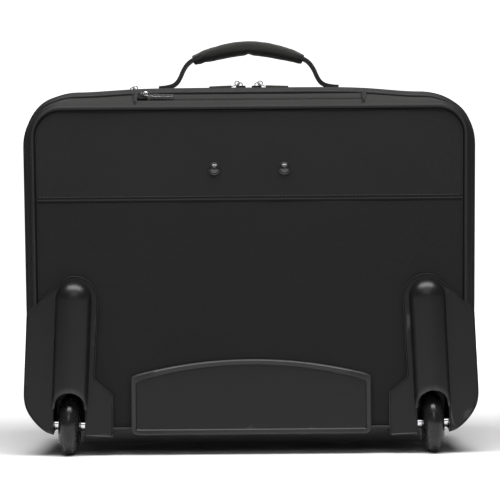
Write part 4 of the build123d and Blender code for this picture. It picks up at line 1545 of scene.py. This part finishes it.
def organiser():
    """Bellowed pocket inside the lid, with a bound top edge and two stitched divisions."""
    low, high = cad_box("lid_organiser")
    rows = []
    for k in range(41):
        z = low[2] + (high[2] - low[2]) * k / 40
        row = []
        for j in range(97):
            x = low[0] + (high[0] - low[0]) * j / 96
            edge = min((x - low[0]) / 8, (high[0] - x) / 8, (z - low[2]) / 8, 1.0)
            dents = sum(math.exp(-((x - at) / 2.2) ** 2) for at in (-57.0, 57.0))
            full = max(0.0, smooth(edge) * (1 - 0.9 * min(dents, 1.0)))
            row.append((x, high[1] - 0.5 - (high[1] - low[1] - 0.6) * full, z))
        rows.append(row)
    face = thicken(outward(grid("organiser", rows, LINING)), 0.6, 0.0)
    hem = [(x, low[1] + 0.6, high[2] - 1.0) for x in np.linspace(low[0] + 2, high[0] - 2, 60)]
    binding = swept("binding", hem, [(-3.0, -0.7), (3.0, -0.7), (3.0, 0.5), (-3.0, 0.5)], TAPE, up=(0, -1, 0))
    seams = []
    for at in (-57.0, 57.0):
        path = [(at, high[1] - 1.0, z) for z in np.linspace(low[2] + 4, high[2] - 5, 40)]
        seams.append(stitches("seam", path, [(0, -1, 0)] * 40, material=THREAD))
    settle_on(join("lid_organiser_pocket", [face, binding] + seams), "lid", "lining", "lid_organiser")


# ================================================================ stage, light and camera
FLOOR_GAIN = 0.83


def stage():
    mat, tree, shader = tree_of("studio_floor")
    seen = add(tree, "ShaderNodeLightPath").outputs["Is Camera Ray"]
    soft = noise_fac(tree, position(tree), 3.0)
    paper = mix(tree, soft, grey(0.78), grey(0.82))
    tree.links.new(mix(tree, seen, paper, grey(FLOOR_GAIN)), shader.inputs["Base Color"])
    depth = add(tree, "ShaderNodeSeparateXYZ", {0: position(tree)}).outputs[1]
    far = ramp(tree, depth, 0.25, 1.6, 0.0, 1.0)
    near = ramp(tree, depth, -0.17, -0.11, 0.8, 0.0)
    across = add(tree, "ShaderNodeSeparateXYZ", {0: position(tree)}).outputs[0]
    wide = ramp(tree, maths(tree, "ABSOLUTE", across), 0.6, 1.6, 0.0, 1.0)
    glow = maths(tree, "MAXIMUM", maths(tree, "ADD", far, near), wide)
    tree.links.new(maths(tree, "MULTIPLY", seen, glow), shader.inputs["Emission Strength"])
    settle(shader, Roughness=0.9, Specular_IOR_Level=0.0, Emission_Color=grey(1.0))
    bend = [(3500 + 1800 * math.sin(a), 1800 * (1 - math.cos(a))) for a in np.linspace(0, math.pi / 2, 16)]
    profile = [(-5000.0, 0.0), (0.0, 0.0)] + bend + [(5300.0, 6500.0)]
    floor = grid("studio_floor", [[(x, y, z) for y, z in profile] for x in (-7000.0, 7000.0)], mat,
                 angle=None)
    world = bpy.data.worlds.new("studio")
    bpy.context.scene.world = world
    world.use_nodes = True
    nodes, links = world.node_tree.nodes, world.node_tree.links
    nodes.clear()
    out = nodes.new("ShaderNodeOutputWorld")
    glow = nodes.new("ShaderNodeBackground")
    seen = nodes.new("ShaderNodeBackground")
    pick = nodes.new("ShaderNodeMixShader")
    ray = nodes.new("ShaderNodeLightPath")
    glow.inputs["Color"].default_value = grey(1.0)
    glow.inputs["Strength"].default_value = 0.05
    seen.inputs["Color"].default_value = grey(1.0)
    seen.inputs["Strength"].default_value = 1.0
    links.new(ray.outputs["Is Camera Ray"], pick.inputs[0])
    links.new(glow.outputs[0], pick.inputs[1])
    links.new(seen.outputs[0], pick.inputs[2])
    links.new(pick.outputs[0], out.inputs[0])
    bpy.context.scene.view_settings.view_transform = "Standard"


def softbox(name, place, target, size, power):
    data = bpy.data.lights.new(name, "AREA")
    data.shape = "RECTANGLE"
    data.size, data.size_y = size
    data.energy = power
    lamp = bpy.data.objects.new(name, data)
    lamp.location = place
    lamp.rotation_euler = (Vector(target) - Vector(place)).to_track_quat("-Z", "Y").to_euler()
    bpy.context.scene.collection.objects.link(lamp)


def lights():
    softbox("top_box", (0.0, -0.7, 2.0), (0, -0.1, 0.2), (2.2, 1.0), 70.0)
    softbox("front_key", (0.0, -2.9, 1.7), (0, 0, 0.2), (1.8, 1.2), 13.0)
    softbox("back_fill", (0.0, 2.8, 1.5), (0, 0, 0.2), (2.0, 1.2), 14.0)


def camera():
    """Camera square to the rear face, a little above the middle of the case."""
    data = bpy.data.cameras.new("camera")
    distance, height, aim = 2.4, 0.250, 0.199
    data.sensor_width = 36.0
    data.lens = 36.0 * distance / 0.4845
    cam = bpy.data.objects.new("camera", data)
    cam.location = (0.0, GUARD_Y * MM - distance, height)
    way = Vector((0.0, distance, aim - height)).normalized()
    look = way.to_track_quat("-Z", "Y").to_matrix().to_4x4()
    roll = Matrix.Rotation(math.radians(-0.45), 4, "Z")
    cam.matrix_world = Matrix.Translation(cam.location) @ look @ roll
    bpy.context.scene.collection.objects.link(cam)
    bpy.context.scene.camera = cam


# ================================================================ CAD nodes that stay
def finish_cad():
    kept = {"rear_board": BOARD, "bottom_board": BOARD, "guard_screws": FASTENER, "axles": CHROME,
            "axle_spacers": CHROME, "front_foot": FOOT_PAINTED_LIGHT, "trolley_outer_tubes": TUBE, "trolley_bezel": HANDLE,
            "trolley_base_bracket": HANDLE, "trolley_cross_bracket": BRACKET, "panel_rivets": RIVET,
            "stage1_tubes": TUBE, "stage1_collars": HANDLE, "stage2_tubes": TUBE, "stage2_collars": HANDLE,
            "stage3_tubes": TUBE, "grip_lower_shell": HANDLE, "grip_upper_shell": HANDLE,
            "lock_blocks": HANDLE, "release_button": BUTTON, "release_rods": BRACKET,
            "lock_pin_left": FASTENER, "lock_pin_right": FASTENER}
    for name, mat in kept.items():
        NODES[name].data.materials.clear()
        NODES[name].data.materials.append(mat)


camera()
stage()
lights()
finish_cad()
rear_panels()
rear_piping()
rear_band()
rear_zip()
seam_cord()
main_band()
laptop_zip()
for which in ("left", "right"):
    guard_parts(which)
    wheel(which)
kick_plate()
rivets()
carry_handle()
handle_patches()
zip_pieces()
front_lid()
button_spring()
inside()
main_zip()
organiser()
